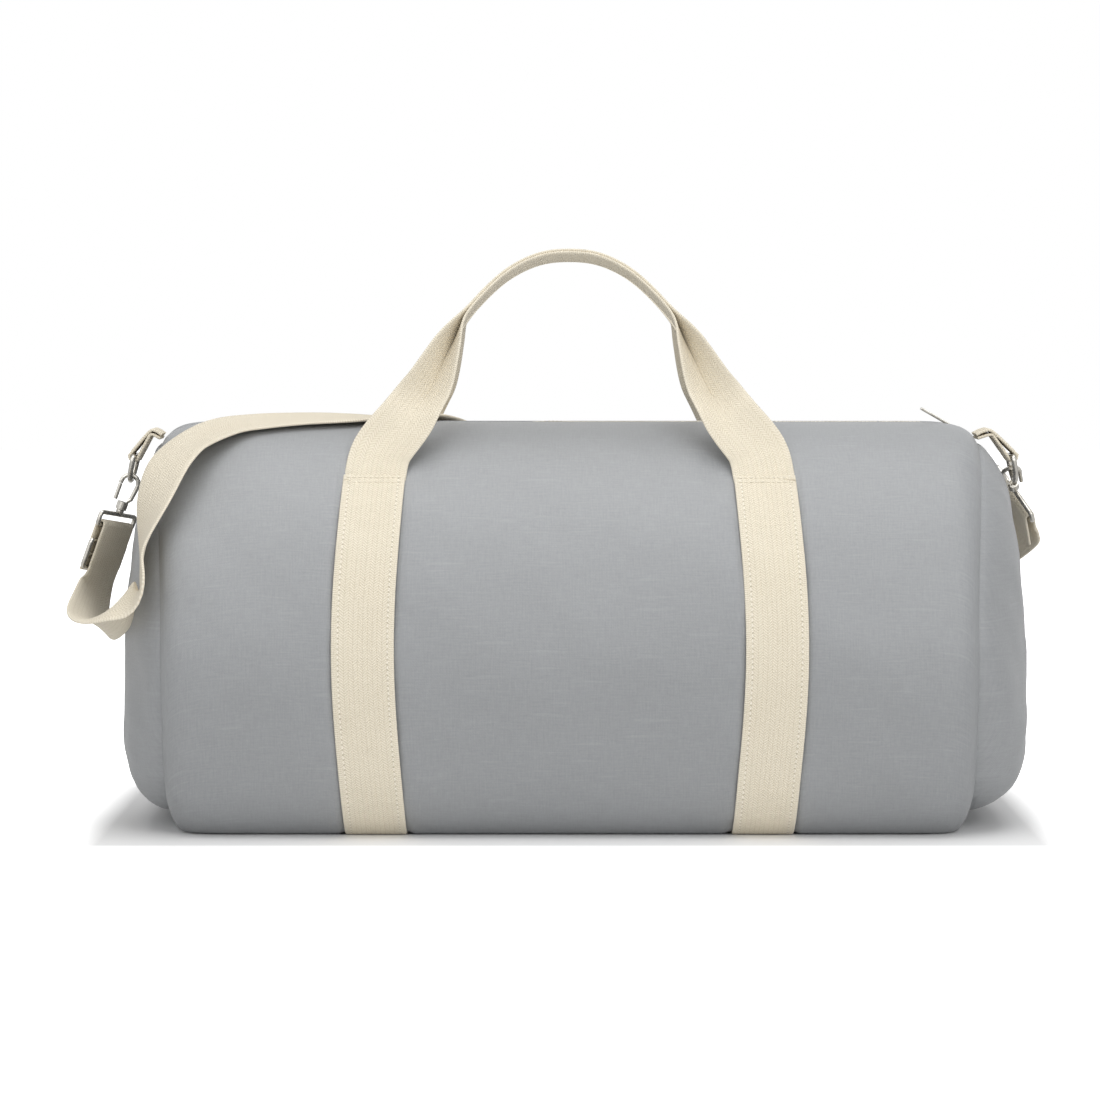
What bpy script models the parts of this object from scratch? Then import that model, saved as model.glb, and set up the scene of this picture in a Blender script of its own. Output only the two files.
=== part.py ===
"""A canvas sports bag: a barrel of cotton canvas with webbing belts, two carry handles, a long top
zip, D-rings with snap hooks at both ends, and a shoulder strap draped over it.

Sizes are in metres and +Z is up. The origin is the centre of the flat base. The long axis is X,
the photographed side faces -Y, and "front" means -Y throughout."""

import math

import bmesh
import bpy
from mathutils import Matrix, Vector

# Barrel
half_length = 0.248  # middle to the end seam, along the front
crest_reach = 0.010  # how much further out the seam stands at the crest
barrel_height = 0.252
half_depth = 0.126
base_dip = 0.014  # how far the round section would go below the floor
base_fullness = 0.70  # how much the canvas spreads where it meets the floor
seam_top = 0.240
seam_bottom = 0.004
seam_half_depth = 0.115
shoulder_power = 36
belly_share = 0.10  # how much lower than the middle the belly hangs
canvas_thickness = 0.0014
clearance = 0.0003

# End panels
bulge_right = 0.038
bulge_left = 0.030
bulge_height = 0.102
dome_power = 3  # how flat the middle of an end panel is
dome_edge_power = 0.65  # how steeply it meets the seam
dome_columns = 28
binding_columns = 32

# Mouth and zip
mouth_start = -0.050
mouth_end_margin = 0.026  # from the mouth's right end to the end seam
mouth_half_width = 0.042
slot_half_width = 0.0080
hem_radius = 0.0025
zip_rest_sink = 0.0092  # how far below the crest the tape's middle plane is at the closed slider
zip_top_sink = 0.0032  # and where it is highest
zip_top_x = 0.050  # where the zip's arc over the bag is highest
zip_left_margin = 0.022  # the last stretch, in which the zip falls to the left seam
tape_thickness = 0.0008
tape_half_width = 0.0125
tape_end_drop = 0.0060  # how far below the seam's top the tape ends
tape_end_length = 0.0040
row_gap = 0.0018
tooth_pitch = 0.0072  # each tooth of the comb stands for three small ones
tooth_depth = 0.0022
tooth_height = 0.0022
stop_length = 0.0025
slider_setback = 0.0025  # from the closed slider's middle to the end seam
slider_length = 0.0130
slider_half_width = 0.0052
slider_wall = 0.0009
slider_stop = -0.0600
lug_height = 0.0032
lug_width = 0.0022
lug_bore_radius = 0.0011
puller_length = 0.0260
puller_width = 0.0068
puller_thickness = 0.0016
puller_lift = math.radians(30)

# Webbing
webbing_width = 0.038
webbing_thickness = 0.0018
belt_x = 0.122
groove_slope = 0.0030
stitch_angle = math.radians(39.8)
groove_fade = math.radians(7)
handle_rise = 0.134
grip_back = 0.0035
fold_angle = math.radians(86.5)
crease_depth_share = 0.35  # thickness of the folded crease, as a share of the webbing's
crease_width_share = 0.20

# Rings and tabs
tab_width = 0.025
ring_wire = 0.0034
ring_half_width = 0.0145
ring_side = 0.0015
ring_out_right = 0.0225
ring_out_left = 0.0170
ring_drop = 0.0105
ring_tilt_right = math.radians(10)
ring_tilt_left = math.radians(12)
tab_arch = 0.0050

# Snap hooks
hook_wire = 0.0030
eye_radius = 0.0040
shank_length = 0.0105
collar_radius = 0.0036
collar_length = 0.0050
pin_radius = 0.0013
pin_head_radius = 0.0023
pin_head_length = 0.0014
neck_length = 0.0018
loop_wire = 0.0030
loop_half_width = 0.0224
loop_height = 0.0052
hook_lean_left = math.radians(20)
hook_turn_right = math.radians(37)
hook_lean_right_share = 0.10
gate_width = 0.0026
claw_turn = math.radians(195)
claw_back_share = 0.75  # where the claw's back meets its collar
neck_share = 0.80  # the neck's radius as a share of the collar's
loop_way_left = (0.41, 0.91, 0.0)
loop_turn_right = (0.9, 0.3, 0.3)

# Strap
layer_gap = 0.0038
loop_hang = 0.0625
sewn_length = 0.027
slide_height = 0.0180
slide_share = 0.72  # the slide's place along the doubled webbing
slide_wire = 0.0030

sharp_angle = math.radians(40)
belt_half = webbing_width / 2
groove_depth = webbing_thickness + clearance
mid_half_height = (barrel_height + base_dip) / 2
mid_centre = barrel_height - mid_half_height
seam_half_height = (seam_top - seam_bottom) / 2
seam_centre = seam_top - seam_half_height
lower_rows = 11
mouth_end = half_length - mouth_end_margin
slider_rest = half_length - slider_setback
zip_left_bend = half_length - zip_left_margin
zip_rest_height = barrel_height - zip_rest_sink
zip_top_height = barrel_height - zip_top_sink
tape_end_height = seam_top - tape_end_drop
zip_drop = zip_top_height - zip_rest_height
zip_reach = slider_rest - zip_top_x
zip_radius = (zip_reach**2 + zip_drop**2) / (2 * zip_drop)
zip_slope = math.asin(zip_reach / zip_radius)
zip_right_bend = slider_rest + slider_length / 2 + clearance
zip_end = half_length + crest_reach - 2 * canvas_thickness


def clear_scene():
    for thing in list(bpy.data.objects):
        bpy.data.objects.remove(thing, do_unlink=True)


def make_collection(name, hidden=False):
    made = bpy.data.collections.new(name)
    bpy.context.scene.collection.children.link(made)
    made.hide_render = hidden
    return made


def linear(channel):
    return channel / 12.92 if channel <= 0.04045 else ((channel + 0.055) / 1.055) ** 2.4


def make_material(name, hex_colour, roughness, metallic=0.0):
    made = bpy.data.materials.new(name)
    made.use_nodes = True
    shader = made.node_tree.nodes["Principled BSDF"]
    rgb = [linear(int(hex_colour[i : i + 2], 16) / 255) for i in (0, 2, 4)]
    shader.inputs["Base Color"].default_value = (*rgb, 1)
    shader.inputs["Roughness"].default_value = roughness
    shader.inputs["Metallic"].default_value = metallic
    return made


clear_scene()
bag_parts = make_collection("sports_bag")
cutters = make_collection("cutters", hidden=True)
canvas = make_material("grey_canvas", "75767A", 0.9)
webbing = make_material("cream_webbing", "D9CDB8", 0.85)
tape_cloth = make_material("cream_zip_tape", "D6CCBA", 0.8)
nickel = make_material("nickel_plate", "B9B8B4", 0.25, 1.0)
tooth_metal = make_material("zip_metal", "A9A6A0", 0.35, 1.0)


def add_mesh(name, points, faces, material):
    """A mesh object in the bag's collection, with its faces turned outwards."""
    mesh = bpy.data.meshes.new(name)
    mesh.from_pydata([tuple(p) for p in points], [], faces)
    shaped = bmesh.new()
    shaped.from_mesh(mesh)
    bmesh.ops.recalc_face_normals(shaped, faces=shaped.faces)
    shaped.to_mesh(mesh)
    shaped.free()
    mesh.shade_smooth()
    mesh.set_sharp_from_angle(angle=sharp_angle)
    mesh.materials.append(material)
    made = bpy.data.objects.new(name, mesh)
    bag_parts.objects.link(made)
    return made


def loft(name, rings, material):
    """A closed solid through rings of equally many points, capped at both ends."""
    count = len(rings[0])
    points = [p for ring in rings for p in ring]
    last = (len(rings) - 1) * count
    faces = [tuple(range(count)), tuple(range(last, last + count))]
    for here in range(0, last, count):
        for j in range(count):
            k = (j + 1) % count
            faces.append((here + j, here + k, here + count + k, here + count + j))
    return add_mesh(name, points, faces, material)


def sheet(name, rows, thickness, material, kept=None):
    """An open surface through rows of points, thickened towards its inner side."""
    count = len(rows[0])
    points = [p for row in rows for p in row]
    faces = []
    for i in range(len(rows) - 1):
        for j in range(count - 1):
            if kept is None or kept(i, j):
                here = i * count + j
                faces.append((here, here + 1, here + count + 1, here + count))
    mesh = bpy.data.meshes.new(name)
    mesh.from_pydata([tuple(p) for p in points], [], faces)
    shaped = bmesh.new()
    shaped.from_mesh(mesh)
    bmesh.ops.delete(shaped, geom=[v for v in shaped.verts if not v.link_faces], context="VERTS")
    shaped.to_mesh(mesh)
    shaped.free()
    mesh.shade_smooth()
    mesh.materials.append(material)
    made = bpy.data.objects.new(name, mesh)
    bag_parts.objects.link(made)
    wall = made.modifiers.new("wall", "SOLIDIFY")
    wall.thickness = thickness
    wall.offset = -1
    return made


def solid_copy(made):
    """A curve object made a mesh with welded caps, in place of the curve."""
    graph = bpy.context.evaluated_depsgraph_get()
    mesh = bpy.data.meshes.new_from_object(made.evaluated_get(graph))
    shaped = bmesh.new()
    shaped.from_mesh(mesh)
    bmesh.ops.remove_doubles(shaped, verts=shaped.verts, dist=clearance / 10)
    bmesh.ops.recalc_face_normals(shaped, faces=shaped.faces)
    shaped.to_mesh(mesh)
    shaped.free()
    replaced = bpy.data.objects.new(made.name + "_solid", mesh)
    replaced.matrix_world = made.matrix_world
    name = made.name
    home = made.users_collection[0]
    bpy.data.objects.remove(made, do_unlink=True)
    replaced.name = name
    home.objects.link(replaced)
    return replaced


def wire(name, points, radius, material, cyclic=False, rounds=2):
    """A round wire through the points, as a welded mesh."""
    curve = bpy.data.curves.new(name, "CURVE")
    curve.dimensions = "3D"
    curve.bevel_depth = radius
    curve.bevel_resolution = rounds
    curve.use_fill_caps = True
    spline = curve.splines.new("POLY")
    spline.points.add(len(points) - 1)
    for held, point in zip(spline.points, points):
        held.co = (*point, 1)
    spline.use_cyclic_u = cyclic
    curve.materials.append(material)
    made = bpy.data.objects.new(name, curve)
    bag_parts.objects.link(made)
    bpy.context.view_layer.update()
    return solid_copy(made)


def rod(name, start, end, radius, material, sides=16):
    """A straight round bar between two points."""
    start, end = Vector(start), Vector(end)
    mesh = bpy.data.meshes.new(name)
    shaped = bmesh.new()
    bmesh.ops.create_cone(
        shaped, cap_ends=True, segments=sides, radius1=radius, radius2=radius, depth=(end - start).length
    )
    shaped.to_mesh(mesh)
    shaped.free()
    mesh.materials.append(material)
    made = bpy.data.objects.new(name, mesh)
    turn = (end - start).to_track_quat("Z", "Y").to_matrix().to_4x4()
    made.matrix_world = Matrix.Translation((start + end) / 2) @ turn
    bag_parts.objects.link(made)
    return made


def block(name, low, high, material):
    """A box between two corners."""
    low, high = Vector(low), Vector(high)
    mesh = bpy.data.meshes.new(name)
    shaped = bmesh.new()
    bmesh.ops.create_cube(shaped, size=1)
    bmesh.ops.scale(shaped, vec=high - low, verts=shaped.verts)
    bmesh.ops.translate(shaped, vec=(low + high) / 2, verts=shaped.verts)
    shaped.to_mesh(mesh)
    shaped.free()
    mesh.materials.append(material)
    made = bpy.data.objects.new(name, mesh)
    bag_parts.objects.link(made)
    return made


def combine(base, others, operation="UNION"):
    """The base joined with the others, or cut by them. The others become hidden cutters."""
    for other in others:
        for home in list(other.users_collection):
            home.objects.unlink(other)
        cutters.objects.link(other)
        other.hide_render = True
        other.display_type = "WIRE"
        step = base.modifiers.new(operation.lower() + "_" + other.name, "BOOLEAN")
        step.operation = operation
        step.object = other
        step.solver = "EXACT"
    return base


def set_origin(made, place):
    """Moves the object's origin to its joint's axis and leaves the shape where it is."""
    offset = made.matrix_world.inverted() @ Vector(place)
    made.data.transform(Matrix.Translation(-offset))
    made.matrix_world = made.matrix_world @ Matrix.Translation(offset)
    return made


def smooth_route(points, steps):
    """Points on a smooth curve through the given ones, with `steps` between each two."""
    vectors = [Vector(p) for p in points]
    padded = [2 * vectors[0] - vectors[1], *vectors, 2 * vectors[-1] - vectors[-2]]
    route = []
    for i in range(1, len(padded) - 2):
        a, b, c, d = padded[i - 1 : i + 3]
        for j in range(steps):
            t = j / steps
            route.append(
                (2 * b + (c - a) * t + (2 * a - 5 * b + 4 * c - d) * t**2 + (3 * b - a - 3 * c + d) * t**3) / 2
            )
    route.append(vectors[-1])
    return route


def tangents(route):
    """The unit direction of the route at each of its points."""
    found = []
    for i in range(len(route)):
        before = route[max(i - 1, 0)]
        after = route[min(i + 1, len(route) - 1)]
        found.append((after - before).normalized())
    return found


# The barrel's surface


def shoulder(x):
    """0 along the barrel and 1 at its end seams."""
    return min(abs(x) / half_length, 1) ** shoulder_power


def section(x):
    """Centre height, half height and half depth of the barrel at x."""
    share = shoulder(x)
    centre = mid_centre + (seam_centre - mid_centre) * share
    half_height = mid_half_height + (seam_half_height - mid_half_height) * share
    depth = half_depth + (seam_half_depth - half_depth) * share
    return centre, half_height, depth


def barrel_point(x, angle, lift=0.0):
    """The barrel's outer surface at x, at an angle from the crest towards the front, raised by lift."""
    centre, half_height, depth = section(x)
    reach = crest_reach * (x / half_length) ** 4 * max(math.cos(angle), 0) ** 2
    spread = base_fullness * min(math.cos(angle), 0) ** 4
    y = -(depth + lift) * math.sin(angle) * (1 - belly_share * math.cos(angle) + spread)
    z = max(-lift, centre + (half_height + lift) * math.cos(angle))
    return Vector((x + math.copysign(reach, x), y, z))


def angle_at_depth(x, y):
    """The angle at which the upper front surface stands y in front of the middle."""
    low, high = 0.0, math.pi / 2
    while high - low > 1e-7:
        middle = (low + high) / 2
        if -barrel_point(x, middle).y < y:
            low = middle
        else:
            high = middle
    return low


def groove_lift(x):
    """How far the canvas is pressed in under the belts at x."""
    away = abs(abs(x) - belt_x) - belt_half - clearance
    return -groove_depth * max(0, min(1, 1 - away / groove_slope))


def zip_arc(x):
    """The height of the long arc that the slider runs along."""
    return zip_top_height - zip_radius + math.sqrt(zip_radius**2 - (x - zip_top_x) ** 2)


def zip_level(x):
    """The height of the zip tape's middle plane at x, before it falls to the seams. It is level on the left."""
    return zip_arc(min(max(x, slider_stop - slider_length), zip_right_bend))


def zip_line(x):
    """The height of the zip tape's middle plane at x, with its fall to the seam at each end."""
    right_share = (x - zip_right_bend) / tape_end_length
    left_share = (-x - zip_left_bend) / (zip_end - zip_left_bend)
    share = max(0, min(1, max(right_share, left_share)))
    return zip_level(x) * (1 - share) + tape_end_height * share


def slot_lip(x, side):
    """The hem beside the zip at x: its low edge and its top, for side 1 in front and -1 behind."""
    crest = barrel_point(x, angle_at_depth(x, slot_half_width + hem_radius))
    low = min(zip_level(crest.x) + tape_thickness / 2, crest.z - 3 * clearance) + clearance
    top = max(crest.z - hem_radius / 2, low + clearance)
    return [Vector((crest.x, -side * slot_half_width, z)) for z in (low, top)]


lower_angles = [stitch_angle + (math.pi - stitch_angle) * i / lower_rows for i in range(lower_rows + 1)]


def half_row(x, side):
    """The barrel's points at x from the zip slot down to the base, on one side."""
    hem = angle_at_depth(x, slot_half_width + hem_radius)
    hinge = angle_at_depth(x, mouth_half_width)
    row = slot_lip(x, side)
    row.append(barrel_point(x, side * hem))
    row.append(barrel_point(x, side * hinge))
    row.append(barrel_point(x, side * (stitch_angle - groove_fade)))
    row.extend(barrel_point(x, side * angle, groove_lift(x)) for angle in lower_angles)
    return row


mouth_rows = 3  # strips of the half row that the mouth takes


def barrel_stations():
    """The places along X at which the barrel's section is drawn."""
    end_shares = (1, 0.985, 0.968, 0.945, 0.90)
    found = [share * half_length for share in end_shares]
    found.extend(belt_x + k * (belt_half + clearance + extra) for k in (-1, 1) for extra in (0, groove_slope))
    found.append((belt_x + belt_half + half_length * end_shares[-1]) / 2)
    found.append((belt_x - belt_half) / 2)
    found.extend([-x for x in found])
    found.extend((0.0, mouth_start, mouth_end))
    return sorted(found)


def make_barrel():
    stations = barrel_stations()
    rows = []
    for x in stations:
        front = half_row(x, 1)
        back = half_row(x, -1)
        rows.append(front + back[-2::-1])
    count = len(rows[0])

    def kept(i, j):
        in_mouth = mouth_start <= stations[i] < mouth_end
        return not (in_mouth and (j < mouth_rows or j >= count - 1 - mouth_rows))

    return sheet("barrel_panel", rows, canvas_thickness, canvas, kept)


def make_mouth(name, side):
    """One strip of canvas beside the open zip. It turns about its outer edge."""
    start, end = mouth_start + clearance, mouth_end - clearance
    stations = [start] + [x for x in barrel_stations() if start + clearance < x < end - clearance] + [end]
    rows = []
    for x in stations:
        hem = angle_at_depth(x, slot_half_width + hem_radius)
        hinge = angle_at_depth(x, mouth_half_width - clearance)
        row = slot_lip(x, side)
        row.append(barrel_point(x, side * hem))
        row.append(barrel_point(x, side * (hem + hinge) / 2))
        row.append(barrel_point(x, side * hinge))
        rows.append(row if side > 0 else row[::-1])
    made = sheet(name, rows, canvas_thickness, canvas)
    return set_origin(made, mouth_hinge(side))


def mouth_hinge(side):
    return barrel_point(0, side * angle_at_depth(0, mouth_half_width))


# End panels and seam bindings


def dome_ring(side, bulge, share, lift):
    """A ring of the end panel at a share of the way from its middle out to the seam."""
    ring = []
    apex = half_length + bulge + lift
    for i in range(dome_columns):
        angle = 2 * math.pi * i / dome_columns
        rim = barrel_point(side * half_length, angle, lift)
        rim_x = abs(rim.x) + clearance
        x = rim_x + (apex - rim_x) * (1 - share**dome_power) ** dome_edge_power
        y = rim.y * share
        z = bulge_height + (rim.z - bulge_height) * share
        ring.append(Vector((side * x, y, z)))
    return ring


def make_end_panel(name, side, bulge):
    shares = (0.10, 0.34, 0.55, 0.72, 0.85, 0.94, 0.985, 1.0)
    outside = [dome_ring(side, bulge, share, 0.0) for share in shares]
    inside = [dome_ring(side, bulge, share, -canvas_thickness) for share in reversed(shares)]
    return loft(name, outside + inside, canvas)


def make_binding(name, side):
    """The tape over the raw edges inside an end seam. It stays open where the zip tape ends."""
    opening = angle_at_depth(half_length, tape_half_width + canvas_thickness)
    outer = -(canvas_thickness + clearance)
    inner = outer - tape_thickness
    width = 4 * canvas_thickness
    near = half_length - canvas_thickness
    rings = []
    for i in range(binding_columns + 1):
        angle = opening + 2 * (math.pi - opening) * i / binding_columns
        corners = ((near, outer), (near - width, outer), (near - width, inner), (near, inner))
        ring = []
        for x, lift in corners:
            on_section = barrel_point(side * half_length, angle, lift - canvas_thickness / 2)
            ring.append(Vector((on_section.x - side * (half_length - x), on_section.y, on_section.z)))
        rings.append(ring)
    return loft(name, rings, tape_cloth)


# Belts and handles


def make_belt(name, x):
    """Webbing round the barrel, let into its groove, from one pair of handle seams to the other."""
    rings = []
    angles = lower_angles + [2 * math.pi - angle for angle in reversed(lower_angles[:-1])]
    trim = clearance / half_depth
    angles[0] += trim
    angles[-1] -= trim
    inside = -webbing_thickness
    corners = ((-belt_half, 0.0), (belt_half, 0.0), (belt_half, inside), (-belt_half, inside))
    for angle in angles:
        ring = []
        for offset, lift in corners:
            point = barrel_point(x, angle, lift)
            ring.append(Vector((point.x + offset, point.y, point.z)))
        rings.append(ring)
    return loft(name, rings, webbing)


# One leg of a handle from its stitch line to the top of the arch. Each row gives the place along
# the bag, the height and the depth as shares, and how far the webbing is folded
leg_shares = (
    (1.00, 0.00, 1.00, 0.00),
    (0.965, 0.12, 0.84, 0.03),
    (0.81, 0.265, 0.69, 0.22),
    (0.706, 0.383, 0.52, 0.42),
    (0.61, 0.57, 0.365, 0.68),
    (0.53, 0.707, 0.25, 0.97),
    (0.357, 0.84, 0.14, 1.00),
    (0.243, 0.93, 0.06, 1.00),
    (0.12, 0.985, 0.015, 1.00),
    (0.00, 1.00, 0.00, 1.00),
)


flat_share = 0.4  # how far up a leg its width turns from the belt's direction to square across the leg


def stitch_line(side):
    return barrel_point(0, side * stitch_angle)


def handle_section(centre, across, front, fold):
    """Webbing across a route point, its two halves folded towards the front by an angle."""
    c, s = math.cos(fold), math.sin(fold)
    t = webbing_thickness
    left_tip = centre - across * belt_half * c + front * belt_half * s
    right_tip = centre + across * belt_half * c + front * belt_half * s
    left_out = -across * t * s - front * t * c
    right_out = across * t * s - front * t * c
    bottom = front * t * (crease_depth_share + (1 - crease_depth_share) * c)
    side = across * t * (crease_width_share + (1 - crease_width_share) * s)
    return [
        left_tip,
        centre,
        right_tip,
        right_tip + right_out,
        centre - bottom + side,
        centre - bottom - side,
        left_tip + left_out,
    ]


def make_handle(name, side):
    """A carry handle: flat at its stitch lines, folded in half over the grip. It turns about them."""
    stitch = stitch_line(1)
    depth = -stitch.y - grip_back
    leg = []
    for along, up, back, fold in leg_shares:
        place = Vector((-belt_x * along, -(grip_back + depth * back), stitch.z + handle_rise * up))
        leg.append((place, fold))
    points = [place for place, fold in leg]
    folds = [fold for place, fold in leg]
    points += [Vector((-p.x, p.y, p.z)) for p in reversed(points[:-1])]
    folds += list(reversed(folds[:-1]))
    steps = 2
    route = smooth_route(points, steps)
    root = Vector((0, math.cos(stitch_angle), math.sin(stitch_angle))) * clearance
    route[0] = route[0] + root
    route[-1] = route[-1] + root
    along = tangents(route)
    half_way = len(route) // 2
    rings = []
    for i, place in enumerate(route):
        share = i / steps
        before = int(min(share, len(folds) - 2))
        fold = folds[before] + (folds[before + 1] - folds[before]) * (share - before)
        nearest = min(i, len(route) - 1 - i)
        level = min(nearest, half_way * 2 // 3)
        lean = route[level + 1] - route[level] if nearest else root
        front = Vector((0, -lean.z, lean.y)).normalized()
        straight = Vector((1 if i < half_way else -1, 0, 0))
        square = along[i].cross(front).normalized()
        turned = min(1, (place.z - stitch.z) / (flat_share * handle_rise))
        across = straight.lerp(square, turned).normalized()
        ring = handle_section(place, across, front, fold * fold_angle)
        rings.append([Vector((p.x, side * p.y, p.z)) for p in ring])
    made = loft(name, rings, webbing)
    return set_origin(made, stitch_line(side))


# Zip


def make_tape(name, start, end, low_y, high_y):
    """A length of zip tape that follows the zip line."""
    hems = [barrel_point(x, angle_at_depth(x, slot_half_width + hem_radius)).x for x in barrel_stations()]
    hems += [zip_right_bend, -zip_left_bend]
    stations = [x for x in sorted(hems) if start + clearance < x < end - clearance]
    rings = []
    for x in [start, *stations, end]:
        z = zip_line(x)
        top, bottom = z + tape_thickness / 2, z - tape_thickness / 2
        corners = ((low_y, bottom), (high_y, bottom), (high_y, top), (low_y, top))
        rings.append([Vector((x, *corner)) for corner in corners])
    return loft(name, rings, tape_cloth)


def make_teeth(name, start, end, side):
    """One row of zip teeth on its cord, as a comb along the edge of the tape."""
    inner = row_gap / 2
    cord = inner + tooth_depth / 2
    outer = inner + tooth_depth
    count = max(int((end - start) / tooth_pitch), 1)
    pitch = (end - start) / count
    sides = [start + (i + 0.5 + way / 4) * pitch for i in range(count) for way in (-1, 1)]
    cord_line = [(x, cord) for x in (start, *sides, end)]
    outer_line = [(x, outer) for x in (start, *sides[2::2], end)]
    tips = [(x, inner) for x in sides]
    flat = cord_line + outer_line + tips
    first_outer = len(cord_line)
    first_tip = first_outer + len(outer_line)
    tops = []
    i = j = 0
    while i < len(outer_line) - 1 or j < len(cord_line) - 1:
        here, there = first_outer + i, j
        if j == len(cord_line) - 1 or (i < len(outer_line) - 1 and outer_line[i + 1][0] <= cord_line[j + 1][0]):
            tops.append((here, there, here + 1))
            i += 1
        else:
            tops.append((here, there, there + 1))
            j += 1
    outline = list(range(first_outer, first_tip)) + [first_outer - 1]
    for k in reversed(range(0, len(tips), 2)):
        tops.append((k + 1, k + 2, first_tip + k + 1, first_tip + k))
        outline += [k + 2, first_tip + k + 1, first_tip + k, k + 1]
    outline.append(0)
    points = [
        Vector((x, -side * y, zip_line(x) + level * tooth_height / 2)) for level in (1, -1) for x, y in flat
    ]
    under = len(flat)
    faces = tops + [tuple(under + v for v in face) for face in tops]
    for k, here in enumerate(outline):
        there = outline[(k + 1) % len(outline)]
        faces.append((here, there, there + under, here + under))
    return add_mesh(name, points, faces, tooth_metal)


def make_zip():
    teeth_outer = row_gap / 2 + tooth_depth
    tape_inner = teeth_outer + clearance
    moving_start = mouth_start + clearance
    moving_end = mouth_end - clearance
    chain_end = slider_rest - slider_length / 2
    for name, side in (("front", 1), ("rear", -1)):
        edges = sorted((-side * tape_inner, -side * tape_half_width))
        tape = make_tape("zip_tape_" + name, moving_start, moving_end, *edges)
        set_origin(tape, mouth_hinge(side))
        teeth = make_teeth("zip_teeth_" + name, moving_start, moving_end, side)
        set_origin(teeth, mouth_hinge(side))
        make_tape("zip_tape_right_" + name, mouth_end + clearance, zip_end, *edges)
        make_tape("zip_tape_left_" + name, -zip_end, mouth_start - clearance, *edges)
        make_teeth("zip_chain_right_" + name, mouth_end + clearance, chain_end, side)
        make_teeth("zip_chain_left_" + name, -zip_left_bend, mouth_start - clearance, side)
    make_stop("zip_stop_right", zip_right_bend, teeth_outer)
    make_stop("zip_stop_left", -zip_left_bend - stop_length - clearance, teeth_outer)


def make_stop(name, start, half_width):
    """The metal clip that ends the zip's teeth."""
    middle = zip_line(start + stop_length)
    low = (start, -half_width, middle - tooth_height / 2)
    high = (start + stop_length, half_width, middle + tooth_height / 2)
    return block(name, low, high, tooth_metal)


def make_slider():
    """The zip slider: a plate above and below the tape, joined by a thin neck, and the puller's lug."""
    half = slider_length / 2
    inside = tooth_height / 2 + clearance
    roof = inside + slider_wall
    low_x, high_x = slider_rest - half, slider_rest + half

    def plate(name, low_z, high_z):
        made = block(
            name,
            (low_x, -slider_half_width, zip_rest_height + low_z),
            (high_x, slider_half_width, zip_rest_height + high_z),
            nickel,
        )
        rounding = made.modifiers.new("rounding", "BEVEL")
        rounding.width = slider_wall / 4
        rounding.segments = 2
        return made

    top = plate("zip_slider", inside, roof)
    bottom = plate("slider_floor", -roof, -inside)
    neck_half = row_gap / 2 - clearance
    neck = block(
        "slider_neck",
        (slider_rest - half / 2, -neck_half, zip_rest_height - inside - slider_wall / 2),
        (slider_rest + half / 2, neck_half, zip_rest_height + inside + slider_wall / 2),
        nickel,
    )
    lug_base = zip_rest_height + inside + slider_wall / 2
    lug_top = zip_rest_height + roof + lug_height
    lug = block(
        "slider_lug",
        (slider_rest - half / 2, -lug_width / 2, lug_base),
        (slider_rest + half / 3, lug_width / 2, lug_top),
        nickel,
    )
    combine(top, [bottom, neck, lug])
    for piece in (top, bottom, neck, lug):
        piece.matrix_world = tilt_to_zip() @ piece.matrix_world
    bore_ends = (puller_axis(-slider_half_width), puller_axis(slider_half_width))
    bore = rod("lug_bore", *bore_ends, lug_bore_radius, nickel)
    combine(top, [bore], "DIFFERENCE")
    return set_origin(top, (slider_rest, 0, zip_rest_height))


def tilt_to_zip():
    """Turns a shape drawn level at the closed slider to the slope of the zip there."""
    place = Vector((slider_rest, 0, zip_rest_height))
    return Matrix.Translation(place) @ Matrix.Rotation(zip_slope, 4, "Y") @ Matrix.Translation(-place)


def puller_axis(y):
    z = zip_rest_height + tooth_height / 2 + clearance + slider_wall + lug_height / 2
    return tilt_to_zip() @ Vector((slider_rest, y, z))


def make_puller():
    """A flat bar with a fork at its end, whose pin runs through the slider's lug."""
    pin_radius_here = lug_bore_radius - clearance
    fork = lug_height / 2 + 2 * clearance + lug_bore_radius
    half_width = puller_width / 2
    slot_half = lug_width / 2 + clearance
    axis = puller_axis(0)
    low = axis + Vector((-puller_length, -half_width, -puller_thickness / 2))
    high = axis + Vector((puller_thickness / 2, half_width, puller_thickness / 2))
    bar = block("zip_puller", low, high, nickel)
    rounding = bar.modifiers.new("rounding", "BEVEL")
    rounding.width = puller_thickness / 4
    rounding.segments = 2
    slot_low = axis + Vector((-fork - half_width / 2, -slot_half, -puller_thickness))
    slot_high = axis + Vector((puller_thickness, slot_half, puller_thickness))
    slot = block("puller_slot", slot_low, slot_high, nickel)
    combine(bar, [slot], "DIFFERENCE")
    reach = slot_half + puller_thickness / 2
    pin = rod("puller_pin", axis - Vector((0, reach, 0)), axis + Vector((0, reach, 0)), pin_radius_here, nickel)
    combine(bar, [pin])
    end = axis + Vector((-puller_length + half_width, 0, 0))
    drop = Vector((0, 0, puller_thickness))
    hole = rod("puller_hole", end - drop, end + drop, half_width / 2, nickel)
    combine(bar, [hole], "DIFFERENCE")
    for piece in (bar, slot, pin, hole):
        turn = Matrix.Translation(axis) @ Matrix.Rotation(puller_lift, 4, "Y") @ Matrix.Translation(-axis)
        piece.matrix_world = turn @ piece.matrix_world
    return set_origin(bar, axis)


# Rings and tabs


def ring_bar(side):
    """The middle of the straight bar of a strap ring."""
    out = ring_out_right if side > 0 else ring_out_left
    return Vector((side * (half_length + crest_reach + out), 0, seam_top - ring_drop))


def ring_frame(side):
    """Places a shape drawn in the ring's own plane: its second coordinate runs down the ring."""
    tilt = ring_tilt_right if side > 0 else ring_tilt_left
    down = Vector((side * math.sin(tilt), 0, -math.cos(tilt)))
    across = Vector((0, 1, 0))
    return ring_bar(side), across, down


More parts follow.
